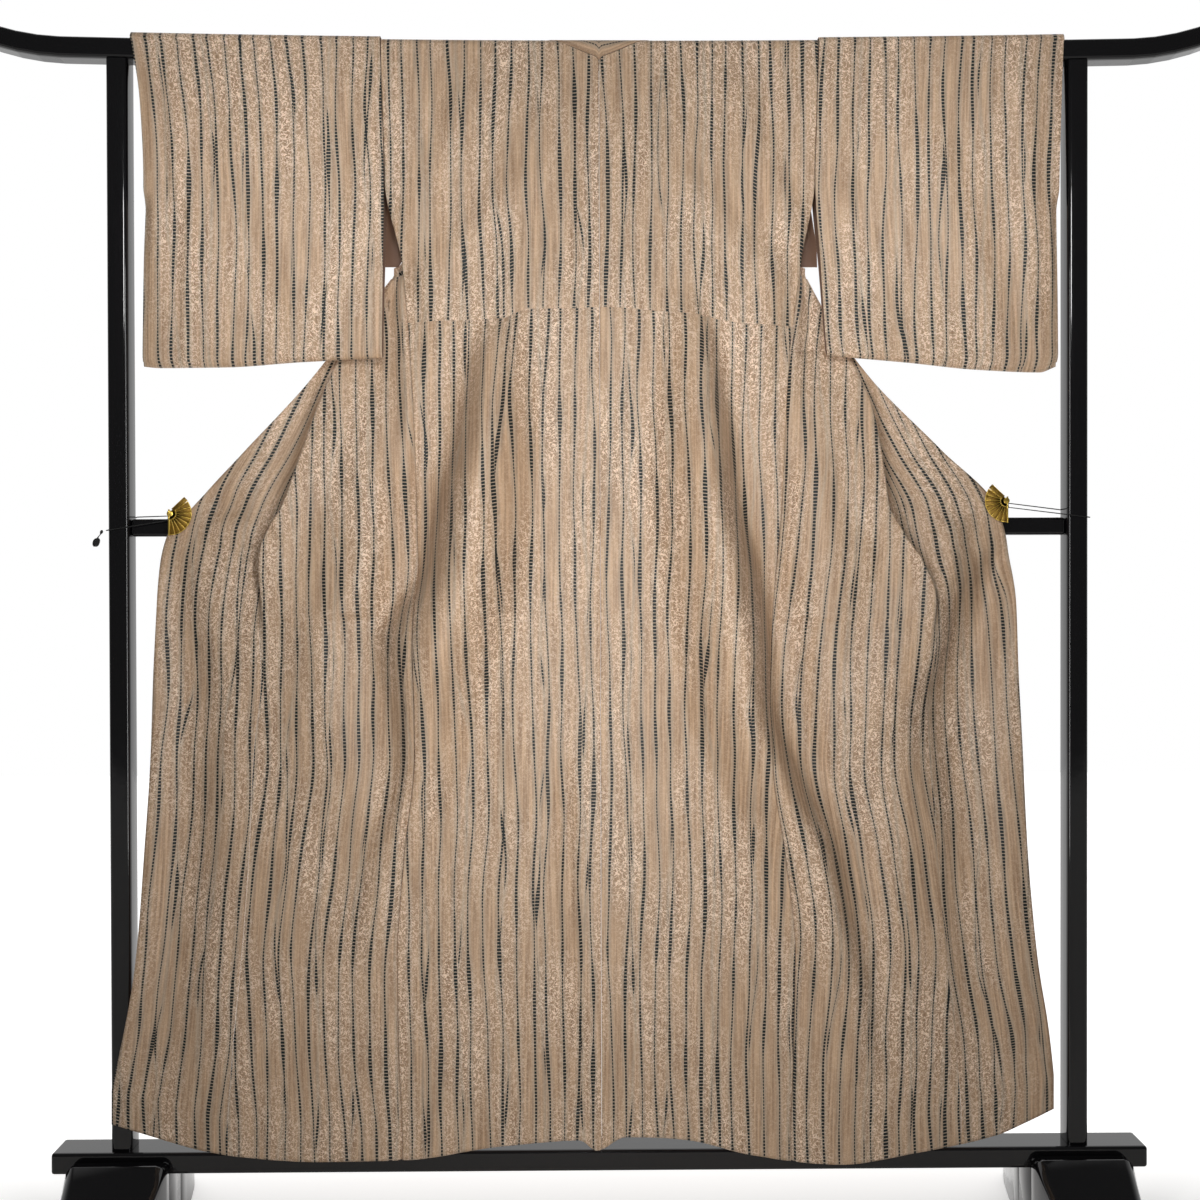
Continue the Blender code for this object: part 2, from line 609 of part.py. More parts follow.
def add_stand(parent):
    """Top bar, posts, rail, beam and feet."""
    lacquer = material("lacquer", (0.008, 0.007, 0.008), 0.12)
    add_top_bar(lacquer, parent)
    bar_under = bar_top(POST_REACH) - BAR_HEIGHT - SEAM_GAP
    post_foot = BEAM_TOP + SEAM_GAP
    for side, way in SIDES.items():
        centre = way * POST_REACH
        add_box("post_" + side, (POST_WIDTH, POST_DEPTH, bar_under - post_foot),
                (centre, 0, (bar_under + post_foot) / 2), CORNER, lacquer, parent)
        rings = [foot_ring(foot, -1, centre) for foot in FOOT[:0:-1]]
        rings += [foot_ring(foot, 1, centre) for foot in FOOT]
        add_sections("foot_" + side, rings, lacquer, parent)
    rail_length = 2 * POST_REACH - POST_WIDTH - 2 * SEAM_GAP
    add_box("mid_rail", (rail_length, RAIL_DEPTH, RAIL_HEIGHT),
            (0, 0, RAIL_TOP - RAIL_HEIGHT / 2), 0.004, lacquer, parent)
    add_box("base_beam", (BEAM_LENGTH, BEAM_DEPTH, BEAM_HEIGHT),
            (0, 0, BEAM_TOP - BEAM_HEIGHT / 2), 0.004, lacquer, parent)


# --- the clips and their cords -----------------------------------------------------------------

Clip = namedtuple("Clip", "web height")
CLIPS = {"left": Clip(0.606, 1.020), "right": Clip(0.5765, 1.036)}
CLIP_SHEET = 0.001
CLIP_HEIGHT = 0.018
CLIP_LEG = 0.022
CLIP_FRONT = -0.0268     # faces of the clip's front and rear legs
CLIP_REAR = -0.0160
FAN_RADIUS = 0.031
FAN_HUB = 0.006
FAN_RIBS = 8
FAN_START = math.radians(-92)
FAN_END = math.radians(42)
CORD_RADIUS = 0.0008


def add_clip(side, finish, parent):
    """A spring clip: a folded strip that grips the cloth, and the fan in front of it."""
    way = SIDES[side]
    clip = CLIPS[side]
    inner = clip.web - CLIP_LEG
    sheet = CLIP_SHEET
    outline = [
        (inner, CLIP_FRONT), (clip.web, CLIP_FRONT), (clip.web, CLIP_REAR), (inner, CLIP_REAR),
        (inner, CLIP_REAR - sheet), (clip.web - sheet, CLIP_REAR - sheet),
        (clip.web - sheet, CLIP_FRONT + sheet), (inner, CLIP_FRONT + sheet),
    ]
    rings = [[Vector((way * x, y, z)) for x, y in outline]
             for z in (clip.height - CLIP_HEIGHT / 2, clip.height + CLIP_HEIGHT / 2)]
    add_sections("clip_" + side, rings, finish, parent)

    hub = Vector((way * (clip.web - 0.003), 0, clip.height + 0.010))
    rings = []
    for i, turn in enumerate(spread(FAN_START, FAN_END, 2 * FAN_RIBS)):
        raised = i % 2
        front = CLIP_FRONT - 0.0021 - 0.0010 * raised
        tip = FAN_RADIUS - 0.0015 * raised
        across, up = -way * math.cos(turn), math.sin(turn)
        ends = [(FAN_HUB, CLIP_FRONT - SEAM_GAP), (tip, CLIP_FRONT - SEAM_GAP),
                (tip, front), (FAN_HUB, front)]
        rings.append([hub + Vector((across * r, y, up * r)) for r, y in ends])
    add_sections("fan_" + side, rings, finish, parent)


def cord_route(side):
    """The taut loop from the clip round the post, its rear run above the rail."""
    way = SIDES[side]
    clip = CLIPS[side]
    start = clip.web + 0.0018
    near = POST_REACH - POST_WIDTH / 2 - 0.0018
    out = POST_REACH + POST_WIDTH / 2 + 0.0016
    back = POST_DEPTH / 2 + 0.0016
    low = clip.height - 0.013
    over_rail = max(RAIL_TOP + 0.0040, clip.height)
    route = [
        (start, -0.0225, clip.height + 0.001), (out - 0.002, -back - 0.0004, low),
        (out, -back + 0.002, low), (out, back - 0.002, low + 0.004),
        (out - 0.002, back, low + 0.005), (near + 0.002, back, over_rail),
        (near, back - 0.002, over_rail), (start, -0.0200, clip.height + 0.007),
    ]
    return [Vector((way * x, y, z)) for x, y, z in route]


def add_cord(name, points, finish, parent):
    """A thin cord along a closed route."""
    curve = bpy.data.curves.new(name, "CURVE")
    curve.dimensions = "3D"
    curve.bevel_depth = CORD_RADIUS
    curve.bevel_resolution = 2
    spline = curve.splines.new("POLY")
    spline.points.add(len(points) - 1)
    for target, point in zip(spline.points, points):
        target.co = (*point, 1.0)
    spline.use_cyclic_u = True
    made = bpy.data.objects.new(name, curve)
    bpy.context.collection.objects.link(made)
    curve.materials.append(finish)
    made.parent = parent


# The knot outside the left post, its short tail and the bead on it: place and thickness
Bead = namedtuple("Bead", "x y z radius")
TAIL = [
    Bead(-0.7002, -0.0228, 1.0075, 0.0006), Bead(-0.7004, -0.0230, 1.0062, 0.0019),
    Bead(-0.7006, -0.0231, 1.0045, 0.0022), Bead(-0.7010, -0.0232, 1.0028, 0.0017),
    Bead(-0.7020, -0.0232, 1.0014, 0.0008), Bead(-0.7045, -0.0232, 0.9985, 0.0008),
    Bead(-0.7062, -0.0232, 0.9962, 0.0012), Bead(-0.7067, -0.0232, 0.9952, 0.0034),
    Bead(-0.7074, -0.0232, 0.9930, 0.0047), Bead(-0.7082, -0.0232, 0.9895, 0.0050),
    Bead(-0.7089, -0.0232, 0.9860, 0.0042), Bead(-0.7093, -0.0232, 0.9840, 0.0024),
]


def add_tail(finish, parent):
    """Knot, tail and bead in one turned piece."""
    rings = []
    for bead in TAIL:
        rings.append([Vector((bead.x + bead.radius * math.cos(turn),
                              bead.y + bead.radius * math.sin(turn), bead.z))
                      for turn in spread(0, 2 * math.pi, 12)[:-1]])
    add_sections("cord_stop", rings, finish, parent)


def add_clips(parent):
    """Both clips with their cords, and the stop on the left cord."""
    brass = material("gilt_brass", (0.72, 0.50, 0.10), 0.25, 1.0)
    elastic = material("elastic_cord", (0.012, 0.012, 0.013), 0.7)
    for side in SIDES:
        add_clip(side, brass, parent)
        add_cord("cord_" + side, cord_route(side), elastic, parent)
    add_tail(elastic, parent)


def main():
    """Clears the scene and builds the kimono and its stand."""
    for old in list(bpy.data.objects):
        bpy.data.objects.remove(old, do_unlink=True)
    groups = {}
    for name in ("garment", "stand", "clips"):
        groups[name] = bpy.data.objects.new(name, None)
        bpy.context.collection.objects.link(groups[name])
    add_garment(groups["garment"])
    add_stand(groups["stand"])
    add_clips(groups["clips"])


main()
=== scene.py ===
"""A lined silk kimono on a black lacquered stand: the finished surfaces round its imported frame.

Metres, +Z up. The kimono's back faces -Y. Reach is a distance from the centre seam, and run is
a length along cloth that lies over the bar, counted from the bar's crown towards the front.
"""

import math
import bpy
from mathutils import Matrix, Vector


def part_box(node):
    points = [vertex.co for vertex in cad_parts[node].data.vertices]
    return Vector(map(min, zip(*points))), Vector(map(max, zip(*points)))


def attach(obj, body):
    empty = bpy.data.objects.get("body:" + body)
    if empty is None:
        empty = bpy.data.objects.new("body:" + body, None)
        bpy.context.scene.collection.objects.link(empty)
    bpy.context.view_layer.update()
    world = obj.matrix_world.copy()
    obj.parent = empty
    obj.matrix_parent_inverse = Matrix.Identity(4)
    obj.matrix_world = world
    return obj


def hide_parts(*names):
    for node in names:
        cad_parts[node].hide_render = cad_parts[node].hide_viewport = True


bl_info = {
    "name": "Silk Kimono on a Stand",
    "version": (1, 0, 0),
    "blender": (4, 5, 0),
    "location": "3D View > Sidebar > Kimono",
    "description": "Builds the cloth, lacquer, clips and studio round the kimono's frame",
    "category": "Object",
}

from collections import namedtuple
from functools import lru_cache

import bmesh
import bpy
from bpy.props import FloatProperty, PointerProperty, StringProperty
from mathutils import Matrix, Vector, noise

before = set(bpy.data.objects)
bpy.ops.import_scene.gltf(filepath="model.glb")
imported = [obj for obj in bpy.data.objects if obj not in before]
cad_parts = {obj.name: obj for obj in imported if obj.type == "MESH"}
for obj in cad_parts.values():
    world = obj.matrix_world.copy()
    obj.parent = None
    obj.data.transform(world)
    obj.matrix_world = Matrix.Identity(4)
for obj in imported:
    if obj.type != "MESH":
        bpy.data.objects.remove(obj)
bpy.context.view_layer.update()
SIDES = {"left": -1, "right": 1}

# --- the frame's own places ----------------------------------------------------------------------

POST_LOW, POST_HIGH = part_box("post_right")
BAR_HEIGHT = 0.030
BAR_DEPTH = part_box("top_bar")[1].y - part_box("top_bar")[0].y
POST_REACH = (POST_LOW.x + POST_HIGH.x) / 2
TOUCH = 0.0003           # between pieces that touch
SEWN = 0.0007            # between two panels where their sewn edges lean together
BAR_RISE = 0.007         # from the bar's sagging middle to the posts
BAR_MIDDLE_TOP = POST_HIGH.z + TOUCH + BAR_HEIGHT - BAR_RISE
UPTURN_START = 0.755
UPTURN = 1.5


def bar_top(x):
    """Height of the top bar's upper face at x."""
    past = max(0.0, abs(x) - UPTURN_START)
    return BAR_MIDDLE_TOP + BAR_RISE * (x / POST_REACH) ** 2 + UPTURN * past * past


# --- shape tables --------------------------------------------------------------------------------

def table(kind, *rows):
    """Rows with named columns."""
    return [kind(*row) for row in rows]


@lru_cache(maxsize=None)
def sorted_columns(table_name, column, key):
    """One column of a table and its key, in the key's order."""
    rows = sorted(TABLES[table_name], key=lambda row: getattr(row, key))
    return [getattr(row, key) for row in rows], [getattr(row, column) for row in rows]


@lru_cache(maxsize=None)
def read(table_name, column, at, key="height"):
    """A column of a table at a height or reach, smooth between its rows and flat past its ends."""
    xs, ys = sorted_columns(table_name, column, key)
    if at <= xs[0]:
        return ys[0]
    if at >= xs[-1]:
        return ys[-1]
    slopes = [(ys[i + 1] - ys[i]) / (xs[i + 1] - xs[i]) for i in range(len(xs) - 1)]

    def tangent(i):
        if i == 0 or i == len(xs) - 1:
            return slopes[min(i, len(slopes) - 1)]
        before, after = slopes[i - 1], slopes[i]
        return 0.0 if before * after <= 0 else 2 * before * after / (before + after)

    i = next(k for k in range(len(slopes)) if at <= xs[k + 1])
    span = xs[i + 1] - xs[i]
    t = (at - xs[i]) / span
    return ((2 * t ** 3 - 3 * t ** 2 + 1) * ys[i] + (t ** 3 - 2 * t ** 2 + t) * span * tangent(i)
            + (3 * t ** 2 - 2 * t ** 3) * ys[i + 1] + (t ** 3 - t ** 2) * span * tangent(i + 1))


# The back's side seam, the edge of the opened front over it (lower down, the seam of the
# overlap), how deep the pleat behind that edge is, and the front edge (above the clips, the seam
# of the collar). Grain is a line along the overlap's stripes.
Skirt = namedtuple("Skirt", "height side overlap pleat front grain")
# How far towards +Y each layer hangs
Depth = namedtuple("Depth", "height back seam hanging overlap")
# The hem, and the seam of the tuck across the back, along their signed reach
Line = namedtuple("Line", "reach height")
# A sleeve's inner and cuff edges, its lower edge, and how far its two layers hang towards +Y
Edges = namedtuple("Edges", "height inner_left inner_right cuff_left cuff_right")
Bottom = namedtuple("Bottom", "share left right")
Bag = namedtuple("Bag", "height back front")
# A body panel's inner end along the neckline, against its outer end at the sleeve
Neckline = namedtuple("Neckline", "outer_run run reach")
# The upper front: its collar seam and its sleeve edge
Chest = namedtuple("Chest", "height collar sleeve")
# How far the rolled edge of the opened front stands out before the overlap
Lip = namedtuple("Lip", "height out")
# The collar's free edge along the neckline
Neck = namedtuple("Neck", "outer_run free_run free")

TABLES = {
    "skirt_left": table(Skirt,
        (1.372, 0.278, 0.291, 0.012, 0.295, 0.306), (1.3, 0.27, 0.336, 0.05, 0.352, 0.338),
        (1.242, 0.267, 0.375, 0.08, 0.398, 0.364), (1.18, 0.263, 0.399, 0.068, 0.451, 0.392),
        (1.117, 0.261, 0.418, 0.052, 0.505, 0.42), (1.04, 0.259, 0.442, 0.03, 0.572, 0.455),
        (1.0, 0.258, 0.466, 0.014, 0.608, 0.466), (0.96, 0.257, 0.474, 0.004, 0.617, 0.47),
        (0.9, 0.257, 0.476, 0.0, 0.621, 0.474), (0.8, 0.257, 0.472, 0.0, 0.626, 0.472),
        (0.69, 0.258, 0.483, 0.0, 0.63, 0.481), (0.55, 0.275, 0.49, 0.0, 0.64, 0.49),
        (0.4, 0.286, 0.502, 0.0, 0.652, 0.502), (0.28, 0.285, 0.513, 0.0, 0.668, 0.513),
        (0.17, 0.28, 0.521, 0.0, 0.686, 0.521)),
    "skirt_right": table(Skirt,
        (1.372, 0.285, 0.293, 0.012, 0.297, 0.288), (1.3, 0.273, 0.33, 0.05, 0.336, 0.32),
        (1.242, 0.268, 0.362, 0.075, 0.375, 0.346), (1.18, 0.264, 0.387, 0.066, 0.431, 0.374),
        (1.117, 0.261, 0.396, 0.056, 0.489, 0.402), (1.04, 0.257, 0.403, 0.042, 0.56, 0.437),
        (1.0, 0.254, 0.424, 0.03, 0.573, 0.445), (0.96, 0.251, 0.448, 0.01, 0.58, 0.45),
        (0.9, 0.246, 0.467, 0.002, 0.586, 0.458), (0.8, 0.239, 0.457, 0.0, 0.589, 0.458),
        (0.69, 0.235, 0.46, 0.0, 0.595, 0.46), (0.55, 0.256, 0.471, 0.0, 0.602, 0.471),
        (0.4, 0.273, 0.484, 0.0, 0.615, 0.484), (0.28, 0.271, 0.496, 0.0, 0.629, 0.496),
        (0.17, 0.267, 0.504, 0.0, 0.638, 0.504)),
    "depth": table(Depth,
        (1.69, -0.0205, -0.0205, 0.01, 0.0205), (1.5, -0.0215, -0.0205, 0.008, 0.018),
        (1.372, -0.0235, -0.013, 0.005, 0.0165), (1.3, -0.0245, -0.015, 0.003, 0.015),
        (1.242, -0.0255, -0.018, -0.002, 0.01), (1.18, -0.0265, -0.022, -0.01, 0.003),
        (1.117, -0.0275, -0.025, -0.021, -0.0085), (1.07, -0.029, -0.0275, -0.031, -0.02),
        (1.04, -0.0295, -0.029, -0.034, -0.0232), (1.0, -0.0305, -0.0305, -0.036, -0.0245),
        (0.9, -0.032, -0.0325, -0.035, -0.0345), (0.6, -0.0345, -0.0345, -0.035, -0.035),
        (0.1, -0.037, -0.037, -0.037, -0.037)),
    "hem": table(Line,
        (-0.686, 0.175), (-0.625, 0.156), (-0.556, 0.136), (-0.511, 0.128), (-0.39, 0.12),
        (-0.284, 0.121), (-0.142, 0.14), (-0.031, 0.148), (-0.007, 0.133), (0.034, 0.152),
        (0.123, 0.147), (0.212, 0.125), (0.331, 0.111), (0.449, 0.128), (0.554, 0.15),
        (0.638, 0.188)),
    "tuck": table(Line,
        (-0.285, 1.299), (-0.14, 1.304), (-0.097, 1.318), (-0.037, 1.318), (0.0, 1.32),
        (0.136, 1.308), (0.217, 1.296), (0.27, 1.294)),
    "sleeve": table(Edges,
        (1.706, 0.308, 0.311, 0.658, 0.658), (1.61, 0.3055, 0.3085, 0.645, 0.654),
        (1.5, 0.3025, 0.305, 0.64, 0.651), (1.386, 0.304, 0.312, 0.642, 0.65),
        (1.255, 0.306, 0.321, 0.643, 0.65), (1.228, 0.306, 0.324, 0.64, 0.644)),
    "bottom": table(Bottom,
        (0.0, 1.25, 1.253), (0.35, 1.244, 1.243), (0.65, 1.237, 1.233), (0.94, 1.236, 1.229),
        (1.0, 1.238, 1.237)),
    "bag": table(Bag,
        (1.69, -0.0205, 0.0205), (1.5, -0.0215, 0.014), (1.372, -0.0225, -0.002),
        (1.25, -0.0235, -0.01)),
    "neckline": table(Neckline,
        (-0.04, -0.048, 0.0), (-0.033, -0.0425, 0.004), (-0.0265, -0.037, 0.018),
        (-0.018, -0.029, 0.037), (-0.01, -0.019, 0.058), (0.0, -0.007, 0.079), (0.01, 0.007, 0.09),
        (0.018, 0.0165, 0.096), (0.0265, 0.0265, 0.1), (0.04, 0.04, 0.106)),
    "neck": table(Neck,
        (-0.04, 0.0175, 0.0), (-0.033, 0.018, 0.003), (-0.0265, 0.0195, 0.015),
        (-0.018, 0.0225, 0.029), (-0.014, 0.025, 0.036), (-0.01, 0.028, 0.042),
        (-0.005, 0.031, 0.046), (0.0, 0.034, 0.049), (0.01, 0.043, 0.053), (0.018, 0.053, 0.056),
        (0.0265, 0.062, 0.06), (0.04, 0.0736, 0.063)),
    "lip": table(Lip,
        (1.26, 0.0), (1.22, 0.004), (1.117, 0.018), (1.02, 0.022), (0.96, 0.016), (0.89, 0.005),
        (0.83, 0.0)),
    "chest": table(Chest,
        (1.65, 0.113, 0.306), (1.6, 0.147, 0.3045), (1.55, 0.182, 0.303), (1.5, 0.214, 0.302),
        (1.45, 0.247, 0.308), (1.41, 0.272, 0.3135), (1.385, 0.288, 0.314)),
}

# A fold of the hanging cloth, by rows from top to bottom: where its crest is, how wide it is
# towards the left and the right, and how far it stands out (- for a trough)
Fold = namedtuple("Fold", "height x left right out")
FOLDS = {
    "left_ridge": table(Fold,
        (1.31, -0.14, 0.036, 0.05, 0.0), (1.25, -0.15, 0.036, 0.06, 0.026),
        (1.15, -0.156, 0.052, 0.075, 0.054), (1.05, -0.176, 0.058, 0.088, 0.068),
        (0.95, -0.188, 0.074, 0.095, 0.076), (0.85, -0.222, 0.108, 0.1, 0.072),
        (0.75, -0.246, 0.056, 0.085, 0.04), (0.65, -0.256, 0.04, 0.07, 0.024),
        (0.55, -0.296, 0.042, 0.066, 0.014), (0.45, -0.318, 0.034, 0.06, 0.01),
        (0.33, -0.326, 0.03, 0.05, 0.0)),
    "left_valley": table(Fold,
        (1.29, -0.196, 0.04, 0.026, 0.0), (1.24, -0.206, 0.05, 0.03, -0.008),
        (1.15, -0.222, 0.058, 0.034, -0.013), (1.06, -0.246, 0.066, 0.036, -0.011),
        (1.0, -0.256, 0.07, 0.036, -0.011), (0.94, -0.268, 0.08, 0.04, -0.018),
        (0.85, -0.34, 0.056, 0.066, -0.018), (0.75, -0.338, 0.05, 0.04, -0.01),
        (0.65, -0.345, 0.04, 0.03, 0.0)),
    "right_ridge": table(Fold,
        (1.345, 0.12, 0.05, 0.03, 0.0), (1.25, 0.138, 0.062, 0.036, 0.026),
        (1.15, 0.146, 0.08, 0.043, 0.048), (1.05, 0.154, 0.09, 0.047, 0.064),
        (0.95, 0.172, 0.095, 0.06, 0.076), (0.85, 0.19, 0.095, 0.058, 0.076),
        (0.75, 0.206, 0.092, 0.045, 0.064), (0.65, 0.248, 0.092, 0.044, 0.052),
        (0.55, 0.298, 0.094, 0.044, 0.044), (0.45, 0.324, 0.09, 0.042, 0.036),
        (0.35, 0.352, 0.08, 0.038, 0.022), (0.23, 0.37, 0.06, 0.034, 0.004)),
    "right_valley": table(Fold,
        (1.33, 0.168, 0.026, 0.04, 0.0), (1.24, 0.184, 0.028, 0.048, -0.008),
        (1.15, 0.198, 0.03, 0.052, -0.012), (1.05, 0.212, 0.032, 0.055, -0.012),
        (1.0, 0.224, 0.032, 0.055, -0.012), (0.94, 0.238, 0.034, 0.055, -0.018),
        (0.85, 0.25, 0.034, 0.06, -0.018), (0.75, 0.262, 0.032, 0.056, -0.016),
        (0.65, 0.306, 0.028, 0.05, -0.01), (0.55, 0.356, 0.026, 0.044, -0.006),
        (0.43, 0.38, 0.02, 0.03, 0.0)),
    # beside the rolled edge of the opened front, where the overlap sinks behind it
    "left_pocket": table(Fold,
        (1.25, -0.395, 0.045, 0.014, 0.0), (1.19, -0.415, 0.06, 0.016, -0.009),
        (1.09, -0.442, 0.07, 0.016, -0.01), (1.03, -0.462, 0.06, 0.016, -0.005),
        (0.975, -0.482, 0.04, 0.014, 0.0)),
    "right_pocket": table(Fold,
        (1.24, 0.385, 0.014, 0.045, 0.0), (1.18, 0.405, 0.016, 0.06, -0.01),
        (1.09, 0.418, 0.016, 0.07, -0.011), (1.03, 0.432, 0.02, 0.05, -0.005),
        (0.995, 0.446, 0.02, 0.044, -0.005), (0.97, 0.458, 0.018, 0.036, -0.012),
        (0.935, 0.47, 0.014, 0.024, 0.0)),
    # under each sleeve's inner corner the cloth sinks
    "left_corner": table(Fold,
        (1.29, -0.318, 0.04, 0.028, 0.0), (1.245, -0.318, 0.046, 0.032, -0.007),
        (1.19, -0.308, 0.03, 0.02, 0.0)),
    "right_corner": table(Fold,
        (1.29, 0.314, 0.028, 0.04, 0.0), (1.245, 0.314, 0.032, 0.046, -0.006),
        (1.19, 0.306, 0.02, 0.03, 0.0)),
    "left_flank": table(Fold,
        (1.2, -0.315, 0.08, 0.04, 0.0), (1.05, -0.325, 0.11, 0.045, 0.012),
        (0.9, -0.34, 0.12, 0.05, 0.018), (0.75, -0.35, 0.11, 0.05, 0.013),
        (0.56, -0.36, 0.09, 0.05, 0.0)),
    "right_flank": table(Fold,
        (1.26, 0.29, 0.04, 0.05, 0.006), (1.13, 0.305, 0.045, 0.08, 0.012),
        (1.0, 0.322, 0.05, 0.1, 0.014), (0.85, 0.335, 0.055, 0.11, 0.012),
        (0.62, 0.35, 0.055, 0.09, 0.0)),
    "right_clip_ridge": table(Fold,
        (1.03, 0.5, 0.06, 0.03, 0.0), (0.98, 0.49, 0.08, 0.04, 0.016),
        (0.9, 0.462, 0.11, 0.05, 0.03), (0.83, 0.446, 0.11, 0.052, 0.03),
        (0.74, 0.41, 0.09, 0.05, 0.018), (0.65, 0.42, 0.07, 0.044, 0.012),
        (0.48, 0.43, 0.06, 0.04, 0.008), (0.3, 0.44, 0.05, 0.04, 0.0)),
    "right_clip_valley": table(Fold,
        (0.996, 0.57, 0.024, 0.02, 0.0), (0.955, 0.56, 0.04, 0.03, -0.018),
        (0.9, 0.542, 0.052, 0.05, -0.03), (0.83, 0.522, 0.054, 0.07, -0.032),
        (0.74, 0.5, 0.052, 0.09, -0.026), (0.65, 0.508, 0.05, 0.085, -0.022),
        (0.5, 0.516, 0.048, 0.08, -0.016), (0.33, 0.53, 0.046, 0.08, -0.012),
        (0.19, 0.545, 0.04, 0.07, -0.004)),
    "left_outer": table(Fold,
        (0.975, -0.59, 0.03, 0.036, 0.0), (0.9, -0.59, 0.04, 0.05, -0.012),
        (0.78, -0.58, 0.046, 0.066, -0.017), (0.6, -0.584, 0.048, 0.068, -0.018),
        (0.45, -0.594, 0.05, 0.07, -0.017), (0.3, -0.614, 0.052, 0.066, -0.012),
        (0.18, -0.63, 0.05, 0.06, -0.004)),
    "centre_fold": table(Fold,
        (1.64, -0.028, 0.008, 0.005, 0.0), (1.59, -0.0285, 0.008, 0.005, -0.004),
        (1.4, -0.033, 0.01, 0.005, -0.0035), (1.33, -0.034, 0.01, 0.006, 0.0)),
    "centre_low": table(Fold,
        (0.7, -0.048, 0.02, 0.014, 0.0), (0.6, -0.046, 0.024, 0.014, -0.008),
        (0.35, -0.04, 0.024, 0.014, -0.008), (0.16, -0.034, 0.02, 0.012, -0.005)),
}

TABLES.update(("fold_" + name, rows) for name, rows in FOLDS.items())

# A straight crease between two places: half its width and how far it stands out
Crease = namedtuple("Crease", "x z end_x end_z half out")
CREASES = table(
    Crease,
    # from being kept folded
    (-0.461, 0.891, -0.262, 0.893, 0.007, 0.0022), (0.254, 0.884, 0.458, 0.886, 0.007, 0.0022),
    (-0.461, 0.878, -0.262, 0.88, 0.01, -0.002), (0.254, 0.871, 0.458, 0.873, 0.01, -0.002),
    # where a clip holds the overlap, the cloth bulges below the line it is drawn to
    (-0.588, 1.008, -0.48, 1.006, 0.03, 0.009), (-0.6, 1.04, -0.5, 1.046, 0.022, -0.005),
    (-0.465, 1.012, -0.448, 0.982, 0.01, -0.007), (-0.476, 0.996, -0.47, 0.93, 0.014, 0.007),
    (0.56, 1.022, 0.47, 1.0, 0.026, 0.008),
    # sleeves: an upright ridge by the cuff, softer ones beside it, and drags from the armhole
    (-0.572, 1.471, -0.583, 1.24, 0.012, 0.006), (-0.6, 1.64, -0.59, 1.48, 0.018, 0.004),
    (-0.63, 1.66, -0.622, 1.42, 0.012, 0.003), (-0.33, 1.66, -0.345, 1.42, 0.022, 0.003),
    (-0.52, 1.6, -0.4, 1.3, 0.05, 0.004), (0.47, 1.56, 0.56, 1.29, 0.045, 0.004),
    (0.34, 1.66, 0.35, 1.44, 0.02, 0.003), (0.6, 1.64, 0.612, 1.3, 0.026, 0.004),
    # the back: drags from the armholes towards the neck, and loose cloth under the tuck
    (-0.285, 1.4, -0.175, 1.64, 0.032, 0.006), (-0.25, 1.345, -0.09, 1.52, 0.036, 0.005),
    (0.285, 1.4, 0.185, 1.64, 0.032, 0.006), (0.255, 1.345, 0.1, 1.52, 0.036, 0.005),
    (-0.225, 1.66, -0.215, 1.42, 0.016, -0.003), (0.24, 1.66, 0.225, 1.4, 0.016, -0.003))


def smooth(t):
    """Eases 0 to 1."""
    t = min(1.0, max(0.0, t))
    return t * t * (3 - 2 * t)


def spread(start, end, steps):
    """Evenly spaced values from start to end, both included."""
    return [start + (end - start) * i / steps for i in range(steps + 1)]


def seamed(start, end, spacing, seams=(0.0012, 0.0030)):
    """Values from start to end at a spacing, with closer ones beside the seams at both ends."""
    way = 1 if end > start else -1
    inner = spread(start + way * seams[-1], end - way * seams[-1],
                   max(2, round((abs(end - start) - 2 * seams[-1]) / spacing)))
    return ([start] + [start + way * s for s in seams[:-1]] + inner
            + [end - way * s for s in seams[-2::-1]] + [end])


@lru_cache(maxsize=None)
def folds_at(z):
    """The folds that cross a height: crest, width to each side, and how far out."""
    found = []
    for name, rows in FOLDS.items():
        if rows[-1].height < z < rows[0].height:
            found.append([read("fold_" + name, part, z) for part in ("x", "left", "right", "out")])
    return found


UNEVEN = 0.0022          # loose cloth is nowhere quite flat


def loose(x, z, seed):
    """The small unevenness of loose cloth, with the creases that lie near a place."""
    total = UNEVEN * noise.noise(Vector((x * 14, z * 4, seed)))
    total += UNEVEN * 0.4 * noise.noise(Vector((x * 38, z * 8, seed + 7)))
    for crease in CREASES:
        run_x, run_z = crease.end_x - crease.x, crease.end_z - crease.z
        far_x, far_z = x - crease.x, z - crease.z
        along = (far_x * run_x + far_z * run_z) / (run_x * run_x + run_z * run_z)
        if -0.15 < along < 1.15:
            across = abs(far_x * run_z - far_z * run_x) / math.hypot(run_x, run_z) / crease.half
            if across < 1.0:
                ends = smooth((along + 0.15) / 0.3) * smooth((1.15 - along) / 0.3)
                total += crease.out * (1 - across * across) ** 2 * ends
    return total


CLIP_PLACES = [(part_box("clip_" + side)[0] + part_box("clip_" + side)[1]) / 2 for side in SIDES]
GRIPPED = 0.030          # round a clip's middle, cloth is held flat
FREED = 0.075            # and by here it hangs freely again


def free_of_clips(x, z):
    """0 where a clip grips the cloth, 1 away from it."""
    near = min(math.hypot(x - place.x, z - place.z) for place in CLIP_PLACES)
    return smooth((near - GRIPPED) / (FREED - GRIPPED))


def relief(x, z):
    """How far the hanging cloth stands out towards -Y at a place."""
    total = loose(x, z, 0.3)
    for crest, left, right, out in folds_at(z):
        across = (crest - x) / left if x < crest else (x - crest) / right
        if across < 1.0:
            total += out * (1 - across * across) ** 2
    return total * free_of_clips(x, z)


def seam_dip(distance):
    """How far cloth draws in beside a seam."""
    return 0.0011 * math.exp(-distance / 0.0022)


# --- cloth over the bar --------------------------------------------------------------------------

